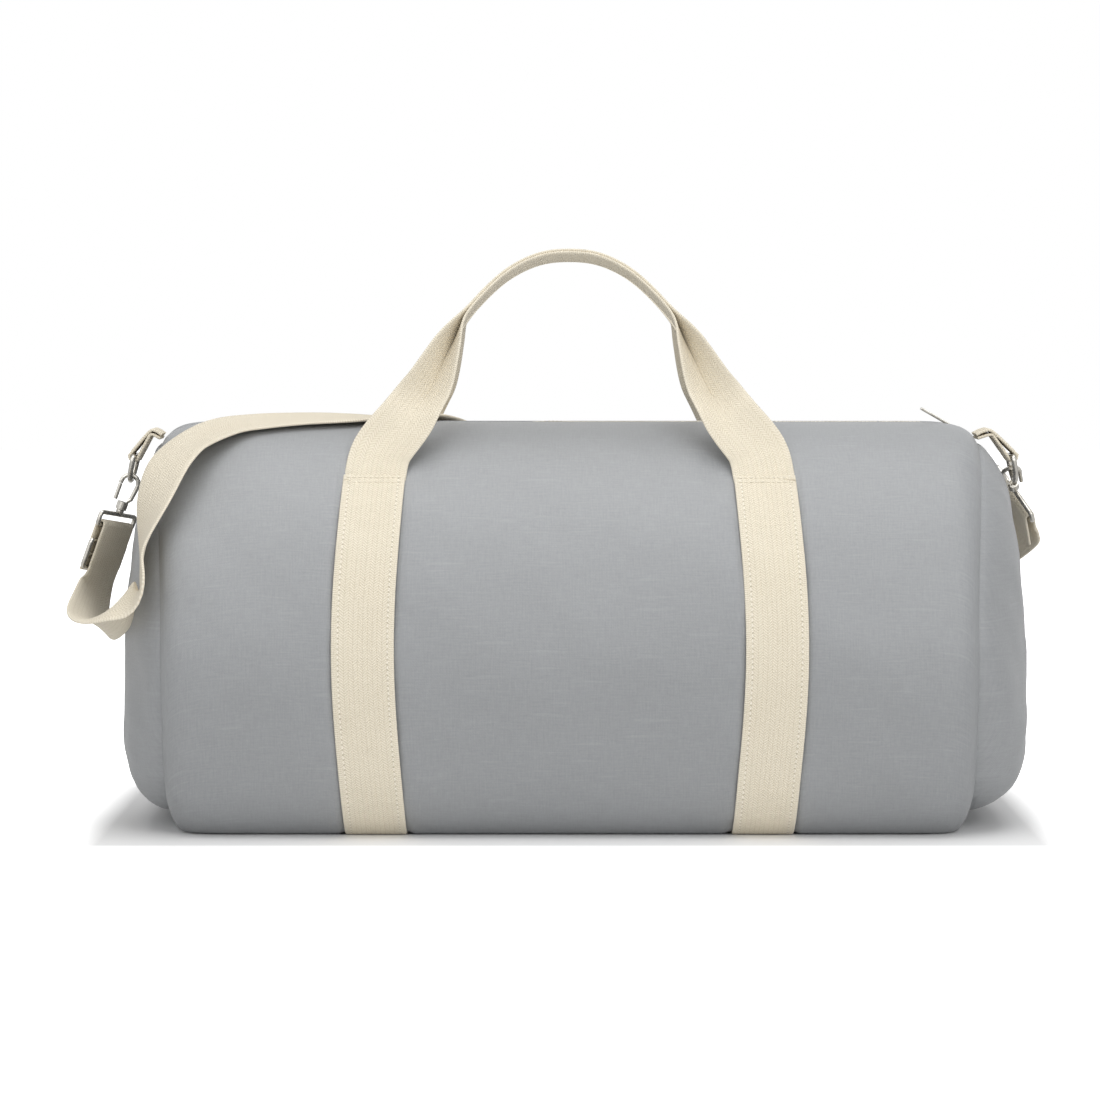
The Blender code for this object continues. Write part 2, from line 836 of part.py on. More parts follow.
def make_ring(name, side):
    bar, across, down = ring_frame(side)
    points = [bar - across * ring_half_width, bar + across * ring_half_width]
    points.append(points[-1] + down * ring_side)
    for i in range(1, 12):
        angle = math.pi * i / 12
        fall = ring_side + ring_half_width * math.sin(angle)
        points.append(bar + across * ring_half_width * math.cos(angle) + down * fall)
    points.append(bar - across * ring_half_width + down * ring_side)
    made = wire(name, points, ring_wire / 2, nickel, cyclic=True)
    return set_origin(made, bar)


def ribbon(name, route, along, across, thickness, width, material):
    """Webbing along a route, with its direction and its width direction given at each point."""
    rings = []
    for i, place in enumerate(route):
        side = (across[i] - along[i] * across[i].dot(along[i])).normalized() * width / 2
        up = along[i].cross(side).normalized() * thickness / 2
        rings.append([place - side - up, place + side - up, place + side + up, place - side + up])
    faces = [(0, 1, 2, 3), tuple(4 * (len(rings) - 1) + j for j in range(4))]
    for i in range(len(rings) - 1):
        here, after = 4 * i, 4 * i + 4
        # Both broad sides are split along the same diagonal, so that a twist can't cross them
        for left, right in ((0, 1), (3, 2)):
            faces.append((here + left, here + right, after + right))
            faces.append((here + left, after + right, after + left))
        faces.append((here + 1, here + 2, after + 2, after + 1))
        faces.append((here + 3, here, after, after + 3))
    return add_mesh(name, [p for ring in rings for p in ring], faces, material)


def make_tab(name, side):
    """Webbing folded round the ring's bar, with both ends in the seam."""
    bar = ring_bar(side)
    wrap = ring_wire / 2 + clearance + webbing_thickness / 2
    seam_x = half_length + crest_reach + clearance
    half = webbing_thickness / 2
    upper_start = Vector((seam_x, 0, seam_top + 2 * webbing_thickness + half + clearance))
    middle = Vector(((seam_x + abs(bar.x)) / 2 - wrap / 3, 0, upper_start.z + tab_arch / 3))
    points = [upper_start, (upper_start + middle) / 2 + Vector((0, 0, tab_arch / 3)), middle]
    lower_end = Vector((seam_x + half, 0, seam_top + webbing_thickness + half))
    away = Vector((abs(bar.x), 0, bar.z))
    coming = math.atan2(away.z - middle.z, away.x - middle.x) + math.pi / 2
    leaving = math.atan2(lower_end.z - away.z, lower_end.x - away.x) + math.pi / 2 - 2 * math.pi
    for i in range(9):
        angle = coming + (leaving - coming) * i / 8
        points.append(away + Vector((math.cos(angle), 0, math.sin(angle))) * wrap)
    points.append(lower_end)
    route = [Vector((side * p.x, p.y, p.z)) for p in points]
    across = [Vector((0, 1, 0))] * len(route)
    return ribbon(name, route, tangents(route), across, webbing_thickness, tab_width, webbing)


# Snap hooks. Each is drawn from its eye down its own axis


def hook_frame(side):
    """The middle of the hook's eye, its axis away from the ring, and the direction of its gate."""
    bar, across, down = ring_frame(side)
    if side < 0:
        wire_place = bar + down * (ring_side + ring_half_width)
        axis = Vector((-math.sin(hook_lean_left), 0, -math.cos(hook_lean_left)))
        wire_way = across
    else:
        angle = hook_turn_right
        radial = across * math.cos(angle) + down * math.sin(angle)
        wire_place = bar + down * ring_side + radial * ring_half_width
        axis = (radial + Vector((hook_lean_right_share, 0, 0))).normalized()
        wire_way = -across * math.sin(angle) + down * math.cos(angle)
    axis = (axis - wire_way * axis.dot(wire_way)).normalized()
    gate = axis.cross(wire_way).normalized()
    if gate.x * side < 0:
        gate = -gate
    eye = wire_place + axis * (eye_radius - ring_wire / 2 - clearance)
    return eye, axis, gate


def collar_start():
    return eye_radius + hook_wire + shank_length - collar_length


def make_hook(name, side):
    """The claw, open at its gate, and the collar that the swivel pin turns in."""
    eye, axis, gate = hook_frame(side)
    bend = eye_radius + hook_wire / 2
    top = collar_start()
    points = [eye + axis * (top + hook_wire / 2)]
    points.append(eye + axis * (top - hook_wire) - gate * bend * claw_back_share)
    for i in range(9):
        angle = claw_turn * (1 - i / 8)
        points.append(eye + gate * bend * math.cos(angle) - axis * bend * math.sin(angle))
    points.append(eye + gate * bend + axis * hook_wire / 2)
    claw = wire(name, points, hook_wire / 2, nickel, rounds=3)
    collar_end = eye + axis * (top + collar_length)
    collar = rod("collar_" + name, eye + axis * top, collar_end, collar_radius, nickel, 20)
    combine(claw, [collar])
    bore_radius = pin_radius + clearance
    bore = rod(
        "bore_" + name,
        eye + axis * (top - hook_wire),
        eye + axis * (top + collar_length + hook_wire),
        bore_radius,
        nickel,
    )
    seat = rod(
        "seat_" + name,
        eye + axis * (top - hook_wire),
        eye + axis * (top + collar_length / 2),
        pin_head_radius + clearance,
        nickel,
    )
    combine(claw, [bore, seat], "DIFFERENCE")
    return set_origin(claw, eye + axis * top)


def gate_hinge(side):
    eye, axis, gate = hook_frame(side)
    return eye + axis * (collar_start() - gate_width / 2 - clearance) + gate * (eye_radius + hook_wire / 2)


def make_gate(name, side):
    """The sprung bar that closes the claw."""
    eye, axis, gate = hook_frame(side)
    hinge = gate_hinge(side)
    tip = eye + gate * (eye_radius + hook_wire / 2) + axis * (hook_wire / 2 + clearance)
    made = rod(name, hinge + axis * gate_width / 2, tip, gate_width / 2, nickel, 12)
    return set_origin(made, hinge)


def make_loop(name, side):
    """The swivel's wire loop with its neck and pin, whose head turns inside the collar."""
    eye, axis, gate = hook_frame(side)
    end = collar_start() + collar_length
    wide = loop_way(side)
    high = eye + axis * (end + clearance + neck_length + loop_wire / 2)
    low = high + axis * (loop_height + loop_wire)
    cut = loop_wire
    corners = []
    for way, near, far in ((1, high, low), (-1, low, high)):
        out = wide * way * loop_half_width
        step = (far - near).normalized() * cut
        inset = wide * way * cut
        corners += [near + out - inset, near + out + step, far + out - step, far + out - inset]
    made = wire(name, corners, loop_wire / 2, nickel, cyclic=True)
    neck = rod("neck_" + name, eye + axis * (end + clearance), high, collar_radius * neck_share, nickel)
    pin_top = collar_start() + collar_length / 2 - clearance
    pin = rod("pin_" + name, eye + axis * (pin_top - pin_head_length / 2), high, pin_radius, nickel)
    head = rod(
        "head_" + name,
        eye + axis * (pin_top - pin_head_length),
        eye + axis * pin_top,
        pin_head_radius,
        nickel,
    )
    combine(made, [neck, pin, head])
    return made


def loop_way(side):
    """The direction of the swivel loop's long side, square to the hook's axis."""
    eye, axis, gate = hook_frame(side)
    wide = Vector(loop_way_left) if side < 0 else axis.cross(Vector(loop_turn_right))
    return (wide - axis * wide.dot(axis)).normalized()


def loop_bar(side):
    """The middle of the bar that the strap goes round."""
    eye, axis, gate = hook_frame(side)
    neck_end = collar_start() + collar_length + clearance + neck_length
    return eye + axis * (neck_end + loop_height + 1.5 * loop_wire)


# Strap

clear_of_bar = layer_gap / 2 + webbing_thickness / 2
layer_step = layer_gap + webbing_thickness

# The hanging loop beyond the left hook: out, forward and down from the hook's loop as shares of the
# length that it hangs, and the way the strap's outer side faces
hanging_shares = (
    (0.21, 0.15, 0.72, (0.85, -0.30, 0.20)),
    (0.23, 0.52, 0.88, (0.75, 0.00, 0.60)),
    (0.18, 0.97, 0.94, (0.45, 0.10, 0.90)),
    (0.05, 1.40, 0.90, (0.05, 0.00, 1.00)),
    (-0.14, 1.70, 0.72, (-0.55, -0.20, 0.80)),
)
# The rest of the strap over the bag: place along the bag as a share of the half length, angle from
# the crest in degrees, lift over the canvas as a share of the webbing's width, and how much the
# strap's outer side faces the end of the bag
draped_shares = (
    (-1.070, 76.0, 0.08, 4.0),
    (-1.052, 64.5, 0.12, 2.5),
    (-1.010, 51.0, 0.20, 1.2),
    (-0.970, 40.5, 0.22, 0.75),
    (-0.918, 29.5, 0.17, 0.5),
    (-0.865, 21.0, 0.10, 0.22),
    (-0.786, 16.5, 0.07, 0.06),
    (-0.680, 12.5, 0.07, 0.0),
    (-0.565, 7.5, 0.10, 0.0),
    (-0.468, -1.0, 0.13, 0.0),
    (-0.380, -12.0, 0.09, 0.0),
    (-0.300, -25.0, 0.08, 0.0),
    (-0.226, -40.0, 0.08, 0.0),
    (-0.145, -57.0, 0.08, 0.0),
    (-0.020, -72.0, 0.09, 0.0),
    (0.145, -84.0, 0.12, 0.0),
    (0.343, -90.0, 0.14, 0.0),
    (0.544, -89.0, 0.14, 0.0),
    (0.726, -84.0, 0.13, 0.0),
    (0.867, -77.0, 0.15, 0.1),
    (0.975, -72.0, 0.21, 0.4),
    (1.060, -69.0, 0.20, 1.0),
    (1.135, -66.0, -0.05, 1.6),
)


straight_shares = (0.07, 0.35, 0.75, 1.15)  # places along the doubled webbing as shares of its length


def wrap_stations(side, facing):
    """Webbing round the loop's bar, from the layer on the far side to the layer that faces `facing`."""
    eye, axis, gate = hook_frame(side)
    bar = loop_bar(side)
    found = []
    for i in range(7):
        angle = math.pi * (1 - i / 6)
        turn = facing * math.cos(angle) - axis * math.sin(angle)
        found.append((bar + turn * clear_of_bar, turn))
    return found


def strap_facing(side):
    """The way the single layer of the strap lies from the loop's bar."""
    eye, axis, gate = hook_frame(side)
    facing = axis.cross(loop_way(side)).normalized()
    return facing if facing.x > 0 else -facing


def doubled_end(side):
    """The sewn end, the turn round the bar and the start of the single layer, away from the sewn end."""
    eye, axis, gate = hook_frame(side)
    facing = strap_facing(side)
    bar = loop_bar(side)
    single = [(bar + facing * clear_of_bar + axis * sewn_length * share, facing) for share in straight_shares]
    returned = [(place - facing * layer_step, -facing) for place, facing in reversed(single)]
    return returned + wrap_stations(side, facing) + single


def strap_stations():
    """Centre points and outward directions of the whole strap, from its left sewn end to its right one."""
    found = doubled_end(-1)
    bar = loop_bar(-1)
    for out, forward, down, facing in hanging_shares:
        found.append((bar + Vector((-out, -forward, -down)) * loop_hang, Vector(facing).normalized()))
    for along, degrees, lift, endwise in draped_shares:
        x = along * half_length
        angle = math.radians(degrees)
        place = barrel_point(x, angle, lift * webbing_width)
        facing = Vector((math.copysign(endwise, x), -math.sin(angle), math.cos(angle)))
        found.append((place, facing.normalized()))
    found.extend(reversed(doubled_end(1)))
    return found


def strap_pieces():
    """The strap's lengths by name, each from one station to another."""
    left_end = 2 * len(straight_shares) + 7
    hanging_end = left_end + len(hanging_shares) + 3
    top_end = hanging_end + 8
    rear_end = left_end + len(hanging_shares) + len(draped_shares) - 2
    return (
        ("strap_adjuster_end", 0, left_end - 1),
        ("strap_loop", left_end - 1, hanging_end),
        ("strap_top", hanging_end, top_end),
        ("strap_rear", top_end, rear_end),
        ("strap_right_end", rear_end, None),
    )


def make_strap():
    stations = strap_stations()
    places = [place for place, facing in stations]
    facings = [facing for place, facing in stations]
    steps = 3
    route = smooth_route(places, steps)
    turned = smooth_route(facings, steps)
    along = tangents(route)
    across = [t.cross(n).normalized() for t, n in zip(along, turned)]
    for name, start, end in strap_pieces():
        first = start * steps
        last = len(route) - 1 if end is None else end * steps
        part = route[first : last + 1]
        if first:
            part[0] = part[0] + along[first] * clearance / 2
        if end is not None:
            part[-1] = part[-1] - along[last] * clearance / 2
        ribbon(
            name,
            part,
            along[first : last + 1],
            across[first : last + 1],
            webbing_thickness,
            webbing_width,
            webbing,
        )


def make_slide():
    """The three-bar slide between the two layers of the strap's left end."""
    eye, axis, gate = hook_frame(-1)
    middle = loop_bar(-1) + axis * sewn_length * slide_share
    wide = loop_way(-1)
    corner = slide_wire
    points = []
    for across_way, along_way in ((1, -1), (1, 1), (-1, 1), (-1, -1)):
        corner_point = middle + wide * across_way * loop_half_width + axis * along_way * slide_height / 2
        flat = corner_point - wide * across_way * corner
        upright = corner_point - axis * along_way * corner
        points += [flat, upright] if across_way * along_way < 0 else [upright, flat]
    frame = wire("strap_slide", points, slide_wire / 2, nickel, cyclic=True)
    reach = wide * (loop_half_width + slide_wire / 4)
    bar = rod("slide_bar", middle - reach, middle + reach, slide_wire / 2 - clearance / 2, nickel, 12)
    return combine(frame, [bar])


def build():
    make_barrel()
    make_mouth("mouth_front", 1)
    make_mouth("mouth_rear", -1)
    make_end_panel("end_panel_right", 1, bulge_right)
    make_end_panel("end_panel_left", -1, bulge_left)
    make_binding("seam_binding_right", 1)
    make_binding("seam_binding_left", -1)
    make_belt("belt_left", -belt_x)
    make_belt("belt_right", belt_x)
    make_handle("handle_front", 1)
    make_handle("handle_rear", -1)
    make_zip()
    make_slider()
    make_puller()
    for name, side in (("left", -1), ("right", 1)):
        make_ring("ring_" + name, side)
        make_tab("tab_" + name, side)
        make_hook("hook_" + name, side)
        make_gate("gate_" + name, side)
        make_loop("hook_loop_" + name, side)
    make_strap()
    make_slide()


build()
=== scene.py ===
"""The look of the canvas sports bag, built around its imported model.

Metres, +Z up. The photographed side faces -Y and is called the front."""

from math import atan2, ceil, copysign, cos, exp, pi, radians, sin, sqrt

import bmesh
import bpy
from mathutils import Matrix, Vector, noise


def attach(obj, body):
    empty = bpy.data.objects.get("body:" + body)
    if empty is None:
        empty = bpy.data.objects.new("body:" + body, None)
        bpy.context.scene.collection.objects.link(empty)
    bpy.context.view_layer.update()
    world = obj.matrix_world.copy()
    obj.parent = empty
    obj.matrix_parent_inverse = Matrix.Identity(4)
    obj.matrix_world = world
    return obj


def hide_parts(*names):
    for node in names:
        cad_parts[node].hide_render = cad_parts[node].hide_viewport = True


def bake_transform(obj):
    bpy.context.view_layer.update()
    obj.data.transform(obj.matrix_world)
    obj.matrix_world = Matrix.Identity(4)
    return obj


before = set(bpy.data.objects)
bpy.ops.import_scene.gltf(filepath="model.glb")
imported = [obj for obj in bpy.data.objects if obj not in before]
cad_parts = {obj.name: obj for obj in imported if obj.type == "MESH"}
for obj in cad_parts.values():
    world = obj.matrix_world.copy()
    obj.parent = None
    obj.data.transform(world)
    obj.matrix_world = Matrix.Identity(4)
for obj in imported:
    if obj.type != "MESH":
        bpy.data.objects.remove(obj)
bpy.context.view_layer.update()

# The bag's sizes in metres, as its solids have them
half_length = 0.248
crest_reach = 0.010
barrel_height = 0.252
half_depth = 0.126
base_dip = 0.014
base_fullness = 0.70
seam_top = 0.240
seam_bottom = 0.004
seam_half_depth = 0.115
shoulder_power = 36
belly_share = 0.10
bulge_right = 0.038
bulge_left = 0.030
bulge_height = 0.102
canvas_thickness = 0.0014
webbing_width = 0.038
webbing_thickness = 0.0018
belt_x = 0.122
belt_raise = 0.0007
belts_in = 0.0035
belts_spread = 0.0065
stitch_angle = radians(39.8)
handle_rise = 0.1345
grip_back = 0.0035
fold_angle = radians(87.5)
under_belt = 0.026  # radians of the barrel that a handle runs on under its belt
belt_margin = 0.0035  # the canvas beside a belt that sinks with it
beside_belt = 0.026  # from a belt's middle to the canvas beside it

# The zip
slot_half_width = 0.0080
hem_radius = 0.0025
zip_rest_height = 0.2428
zip_top_height = 0.2488
zip_top_x = 0.050
slider_rest = 0.2455
slider_length = 0.0130
tape_end_height = 0.2340
zip_end = 0.2552
zip_start = -0.2552
tape_half_width = 0.0125
tape_thickness = 0.0008
teeth_y = 0.0016
tooth_pitch = 0.0025
tooth_size = (0.0012, 0.0026, 0.0016)

# Where the canvas over the zip gives way when it is opened
strip_edge = 0.056
mouth_low = -0.014
mouth_high = 0.196
corner_low = -0.080
corner_high = 0.2356

mid_half_height = (barrel_height + base_dip) / 2
mid_centre = barrel_height - mid_half_height
seam_half_height = (seam_top - seam_bottom) / 2
seam_centre = seam_top - seam_half_height
belt_half = webbing_width / 2


def linear(code):
    """A hex colour as linear values."""
    values = [int(code[i : i + 2], 16) / 255 for i in (0, 2, 4)]
    return tuple(v / 12.92 if v <= 0.04045 else ((v + 0.055) / 1.055) ** 2.4 for v in values)


# A row of a node table is a kind of node and the values of its inputs. For each kind this gives
# Blender's name, the inputs in the row's order, the output that counts as the row's result, and the
# settings (small letters) and inputs that are always the same. Any other kind is a sum's operation.
# A value is a number, a hex colour, a row, or the name of an earlier row, as in "cloth" or "cloth.0"
node_kinds = {
    "cloth place": ("ShaderNodeUVMap", (), 0, {"uv_map": "cloth"}),
    "object place": ("ShaderNodeTexCoord", (), "Object", {}),
    "separate": ("ShaderNodeSeparateXYZ", (0,), 0, {}),
    "stretch": ("ShaderNodeMapping", ("Vector", "Scale"), 0, {}),
    "noise": ("ShaderNodeTexNoise", ("Vector", "Scale", "Detail"), 0, {"Roughness": 0.55}),
    "range": ("ShaderNodeMapRange", range(5), 0, {}),
    "blend": ("ShaderNodeMix", (0, 2, 3), 0, {}),
    "colour": ("ShaderNodeMix", (0, 6, 7), 2, {"data_type": "RGBA"}),
    "bump": ("ShaderNodeBump", ("Height", "Strength", "Distance"), 0, {}),
    "light path": ("ShaderNodeLightPath", (), 0, {}),
    "matt": ("ShaderNodeBsdfDiffuse", ("Color",), 0, {}),
    "glow": ("ShaderNodeEmission", ("Color", "Strength"), 0, {}),
    "both": ("ShaderNodeAddShader", (0, 1), 0, {}),
    "attribute": ("GeometryNodeInputNamedAttribute", ("Name",), 0, {"data_type": "FLOAT_VECTOR"}),
    "align": ("FunctionNodeAlignRotationToVector", ("Vector",), 0, {"axis": "X"}),
    "object": ("GeometryNodeObjectInfo", ("Object",), "Geometry", {}),
    "copies": ("GeometryNodeInstanceOnPoints", ("Points", "Instance", "Rotation", "Scale"), 0, {}),
    "real": ("GeometryNodeRealizeInstances", (0,), 0, {}),
    "paint": ("GeometryNodeSetMaterial", ("Geometry", "Material"), 0, {}),
}


def plug(tree, made, socket, value):
    """Links a socket to a row's result, or sets it to a number or a hex colour."""
    name, dot, output = value.partition(".") if isinstance(value, str) else ("", "", "")
    if name in made or isinstance(value, tuple) and isinstance(value[0], str):
        node, result = made[name] if name else add_node(tree, made, *value)
        if dot:
            result = int(output) if output.isdigit() else output
        tree.links.new(node.outputs[result], socket)
    elif name and socket.type == "RGBA":
        socket.default_value = (*linear(value), 1)
    else:
        socket.default_value = value


def add_node(tree, made, kind, *values):
    """Adds a row's node with its settings and links."""
    sum_of = ("ShaderNodeMath", (0, 1, 2), 0, {"operation": kind})
    blender_kind, order, result, fixed = node_kinds.get(kind, sum_of)
    node = tree.nodes.new(blender_kind)
    for key, value in (*fixed.items(), *zip(order, values)):
        if isinstance(key, str) and key.islower():
            setattr(node, key, value)
        else:
            plug(tree, made, node.inputs[key], value)
    return node, result


def threads(way, pitch):
    """A row for a wave along a way: 0 between two threads and 1 on top of one."""
    return ("MULTIPLY_ADD", ("SINE", ("MULTIPLY", way, 2 * pi / pitch)), 0.5, 0.5)


def weighed(base, *parts):
    """A row for a base with a share of each part added, where a part counts from its middle value."""
    total = base - sum(share * middle for part, share, middle in parts)
    for part, share, middle in parts:
        total = ("MULTIPLY_ADD", part, share, total)
    return total


def build(tree, rows, end, finish, made=()):
    """Adds a table's nodes, and sets or links the inputs of the node that the tree ends in."""
    made = dict(made)
    for name, row in rows.items():
        made[name] = add_node(tree, made, *row)
    for socket, value in finish.items():
        plug(tree, made, tree.nodes[end].inputs[socket], value)


def make_material(name, rows, finish):
    """A material from a table of nodes, with the numbers of its shader's own inputs."""
    material = bpy.data.materials.new(name)
    material.use_nodes = True
    finish = {"Base Color": "colour", "Normal": "bump", **finish}
    build(material.node_tree, rows, "Principled BSDF", finish)
    return material


cloth_rows = {"place": ("cloth place",), "cloth": ("separate", "place")}
object_rows = {"place": ("object place",), "spot": ("separate", "place")}

# Plain-weave cotton canvas, about 400 g/m2, which looks matt and evenly grained. Made from two crossed
# thread waves, thick and thin yarns, small slubs, and a broad unevenness of the dye. The threads are
# drawn 0.9 mm apart, coarser than the half millimetre or so of such canvas, so that they show
canvas_rows = {
    **cloth_rows,
    "warp": threads("cloth.0", 0.0009),
    "weft": threads("cloth.1", 0.0009),
    "over": ("MULTIPLY", "warp", "weft"),
    "weave": ("MULTIPLY_ADD", ("SUBTRACT", 1.0, "warp"), ("SUBTRACT", 1.0, "weft"), "over"),
    "cross_yarns": ("stretch", "place", (90, 1100, 1)),
    "long_tone": ("noise", ("stretch", "place", (1100, 90, 1)), 1.0, 1.0),
    "yarns": ("ADD", "long_tone", ("noise", "cross_yarns", 1.0, 1.0)),
    "fleck": ("noise", "place", 620.0, 2.0),
    "patch": ("noise", "place", 9.0, 3.0),
    "woven": weighed(0.5, ("yarns", 0.55, 1.0), ("weave", 0.22, 0.5)),
    "speckle": weighed(0.0, ("fleck", 0.50, 0.5), ("patch", 0.30, 0.5)),
    "dyed": ("colour", ("ADD", "woven", "speckle"), "808284", "96989A"),
    "slubs": ("range", ("noise", "cross_yarns", 0.35, 0.0), 0.70, 0.78, 0.0, 0.10),
    "colour": ("colour", "slubs", "dyed", "B0B2B3"),
    "bump": ("bump", weighed(0.0, ("weave", 0.6, 0.0), ("yarns", 0.4, 0.0)), 0.55, 0.00022),
}
soft = {"Sheen Weight": 0.10, "Sheen Roughness": 0.6}
canvas_finish = {"Roughness": 0.50, "Specular IOR Level": 0.85, **soft}

# Natural cotton webbing, 38 mm wide and 1.8 mm thick, which looks matt and a little fuzzy. Woven as a
# herringbone: columns 2.9 mm wide with picks 1.7 mm apart, and a plain selvedge 2 mm wide on both sides
column_width = 0.0029
webbing_rows = {
    **cloth_rows,
    "column": ("PINGPONG", "cloth.1", column_width),
    "picks": threads(("MULTIPLY_ADD", "column", 0.75, "cloth.0"), 0.0017),
    "from_middle": ("ABSOLUTE", "cloth.1"),
    "selvedge": ("range", "from_middle", 0.0164, 0.0172),
    "ribs": ("blend", "selvedge", "picks", threads("cloth.0", 0.0013)),
    "in_column": ("MULTIPLY_ADD", "column", 1 / column_width, -0.5),
    "valley": ("range", ("ABSOLUTE", "in_column"), 0.36, 0.5),
    "fuzz": ("noise", ("stretch", "place", (260, 1500, 1)), 1.0, 2.0),
    "patch": ("noise", "place", 30.0, 2.0),
    "uneven": weighed(0.62, ("fuzz", 0.45, 0.5), ("patch", 0.25, 0.5)),
    # The colour is lighter on top of the picks and darker between them and in the valleys between the
    # columns: painted shade in the webbing's grooves. The selvedge is paler.
    "rows": weighed(0.0, ("ribs", 0.42, 0.5), ("valley", -0.22, 0.0), ("selvedge", 0.12, 0.0)),
    "woven": ("colour", ("ADD", "uneven", "rows"), "C9BDA4", "EDE5D3"),
    "relief": weighed(0.0, ("fuzz", 0.25, 0.0), ("valley", -0.5, 0.0), ("ribs", 1.0, 0.0)),
}
# Where it is sewn down, a row of stitches 3.2 mm apart runs 4 mm inside each selvedge
stitched_rows = {
    **webbing_rows,
    "off_row": ("ABSOLUTE", ("SUBTRACT", "from_middle", 0.0150)),
    "row": ("range", "off_row", 0.0003, 0.0006, 1.0, 0.0),
    "thread": ("MULTIPLY", "row", ("range", threads("cloth.0", 0.0032), 0.2, 0.35)),
    "dent": ("SUBTRACT", "row", "thread"),
    "sewn": ("colour", ("MULTIPLY", "thread", 0.7), "woven", "F0E9DA"),
    # The sunken needle line between the stitches is painted darker: painted shade in the groove.
    "colour": ("colour", ("MULTIPLY", "dent", 0.35), "sewn", "9C8F76"),
    "bump": ("bump", ("MULTIPLY_ADD", "dent", -1.2, "relief"), 0.6, 0.00035),
}
webbing_finish = {"Roughness": 0.88, "Specular IOR Level": 0.2, **soft, "Sheen Weight": 0.15}

# Woven cotton zip tape and seam tape, 0.8 mm thick, which looks matt, with fine ribs every 0.8 mm
tape_rows = {
    **object_rows,
    "weave": ("MULTIPLY", threads("spot.1", 0.0008), threads("spot.0", 0.0006)),
    "fuzz": ("noise", "place", 300.0, 2.0),
    "tone": weighed(0.0, ("fuzz", 0.5, 0.0), ("weave", 0.4, 0.0)),
    "colour": ("colour", ("range", "tone", 0.1, 0.7), "D8CFBC", "F0E9DA"),
    "bump": ("bump", "weave", 0.5, 0.0002),
}

# Waxed cotton sewing thread, 0.6 mm thick, which looks like a fine cord, with its twist every 0.7 mm
thread_rows = {
    **object_rows,
    "twist": threads(("ADD", ("ADD", "spot.0", "spot.1"), "spot.2"), 0.0007),
    "colour": ("colour", ("MULTIPLY", "twist", 0.6), "F0EADB", "CFC4AC"),
    "bump": ("bump", "twist", 0.4, 0.0001),
}


def make_metal(name, dark, pale, roughness, scuffs):
    """Plated or cast metal, softly mirroring: an uneven polish with scuffs under a millimetre wide."""
    rows = {
        "place": ("object place",),
        "cloud": ("noise", "place", 160.0, 3.0),
        "fine": ("noise", "place", 1400.0, 2.0),
        "roughness": weighed(roughness, ("fine", scuffs, 0.5), ("cloud", scuffs, 0.0)),
        "colour": ("colour", ("range", "cloud", 0.3, 0.7), dark, pale),
        "bump": ("bump", "fine", 0.15, 0.00005),
    }
    return make_material(name, rows, {"Metallic": 1.0, "Roughness": "roughness"})


flat_rows = {**webbing_rows, "bump": ("bump", "relief", 0.6, 0.00035)}
canvas = make_material("cotton_canvas", canvas_rows, canvas_finish)
webbing = make_material("cotton_webbing", flat_rows, {**webbing_finish, "Base Color": "woven"})
sewn_webbing = make_material("cotton_webbing_sewn_down", stitched_rows, webbing_finish)
tape_cloth = make_material("cotton_zip_tape", tape_rows, {"Roughness": 0.85})
nickel = make_metal("nickel_plated_steel", "A9A69F", "C9C6BF", 0.20, 0.12)
zip_metal = make_metal("zip_metal", "B5B0A4", "D2CEC4", 0.32, 0.10)
thread = make_material("cotton_thread", thread_rows, {"Roughness": 0.75})


# Making pieces


def in_scene(name, data):
    """An object with the data, standing in the scene."""
    made = bpy.data.objects.new(name, data)
    bpy.context.scene.collection.objects.link(made)
    return made


def add_piece(name, points, faces, material, body=None, replaced=(), places=None):
    """A smooth mesh piece at the origin, with its cloth coordinates in metres, riding on a body."""
    mesh = bpy.data.meshes.new(name)
    mesh.from_pydata([tuple(p) for p in points], [], faces)
    if places:
        layer = mesh.uv_layers.new(name="cloth")
        for loop in mesh.loops:
            layer.data[loop.index].uv = places[loop.vertex_index]
    mesh.materials.append(material)
    mesh.shade_smooth()
    mesh.set_sharp_from_angle(angle=radians(50))
    made = in_scene(name, mesh)
    if body:
        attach(made, body)
    if replaced:
        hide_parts(*replaced)
    # Every piece is closed, and its faces look outwards
    shaped = bmesh.new()
    shaped.from_mesh(made.data)
    bmesh.ops.recalc_face_normals(shaped, faces=shaped.faces)
    shaped.to_mesh(made.data)
    shaped.free()
    return made


def lofted(rings, sides):
    """Faces of a tube of rings that follow each other, with both of its ends."""
    last = (rings - 1) * sides
    faces = [tuple(range(sides)), tuple(range(last, last + sides))]
    for here in range(0, last, sides):
        for j in range(sides):
            k = (j + 1) % sides
            faces.append((here + j, here + k, here + sides + k, here + sides + j))
    return faces


def walled(faces, count):
    """The faces of a sheet of `count` points, the same on its inner side, and the wall round its rim."""
    edges = {(face[k - 1], face[k]) for face in faces for k in range(len(face))}
    rim = sorted((b, a, a + count, b + count) for a, b in edges if (b, a) not in edges)
    return faces + [tuple(count + v for v in reversed(face)) for face in faces] + rim


def limited(share):
    """The share, kept between 0 and 1."""
    return max(0.0, min(1.0, share))


def smooth_step(value, low, high):
    share = limited((value - low) / (high - low))
    return share * share * (3 - 2 * share)


def smooth_route(points, steps):
    """Points on a smooth curve through the given ones, with `steps` between each two."""
    vectors = [Vector(p) for p in points]
    padded = [2 * vectors[0] - vectors[1], *vectors, 2 * vectors[-1] - vectors[-2]]
    route = []
    for i in range(1, len(padded) - 2):
        a, b, c, d = padded[i - 1 : i + 3]
        for j in range(steps):
            t = j / steps
            cubic = (2 * a - 5 * b + 4 * c - d) * t**2 + (3 * b - a - 3 * c + d) * t**3
            route.append((2 * b + (c - a) * t + cubic) / 2)
    route.append(vectors[-1])
    return route


def tangents(route, closed=False):
    """The unit direction of the route at each of its points."""
    first, last = (route[-1], route[0]) if closed else (route[0], route[-1])
    padded = [first, *route, last]
    return [(after - before).normalized() for before, after in zip(padded, padded[2:])]


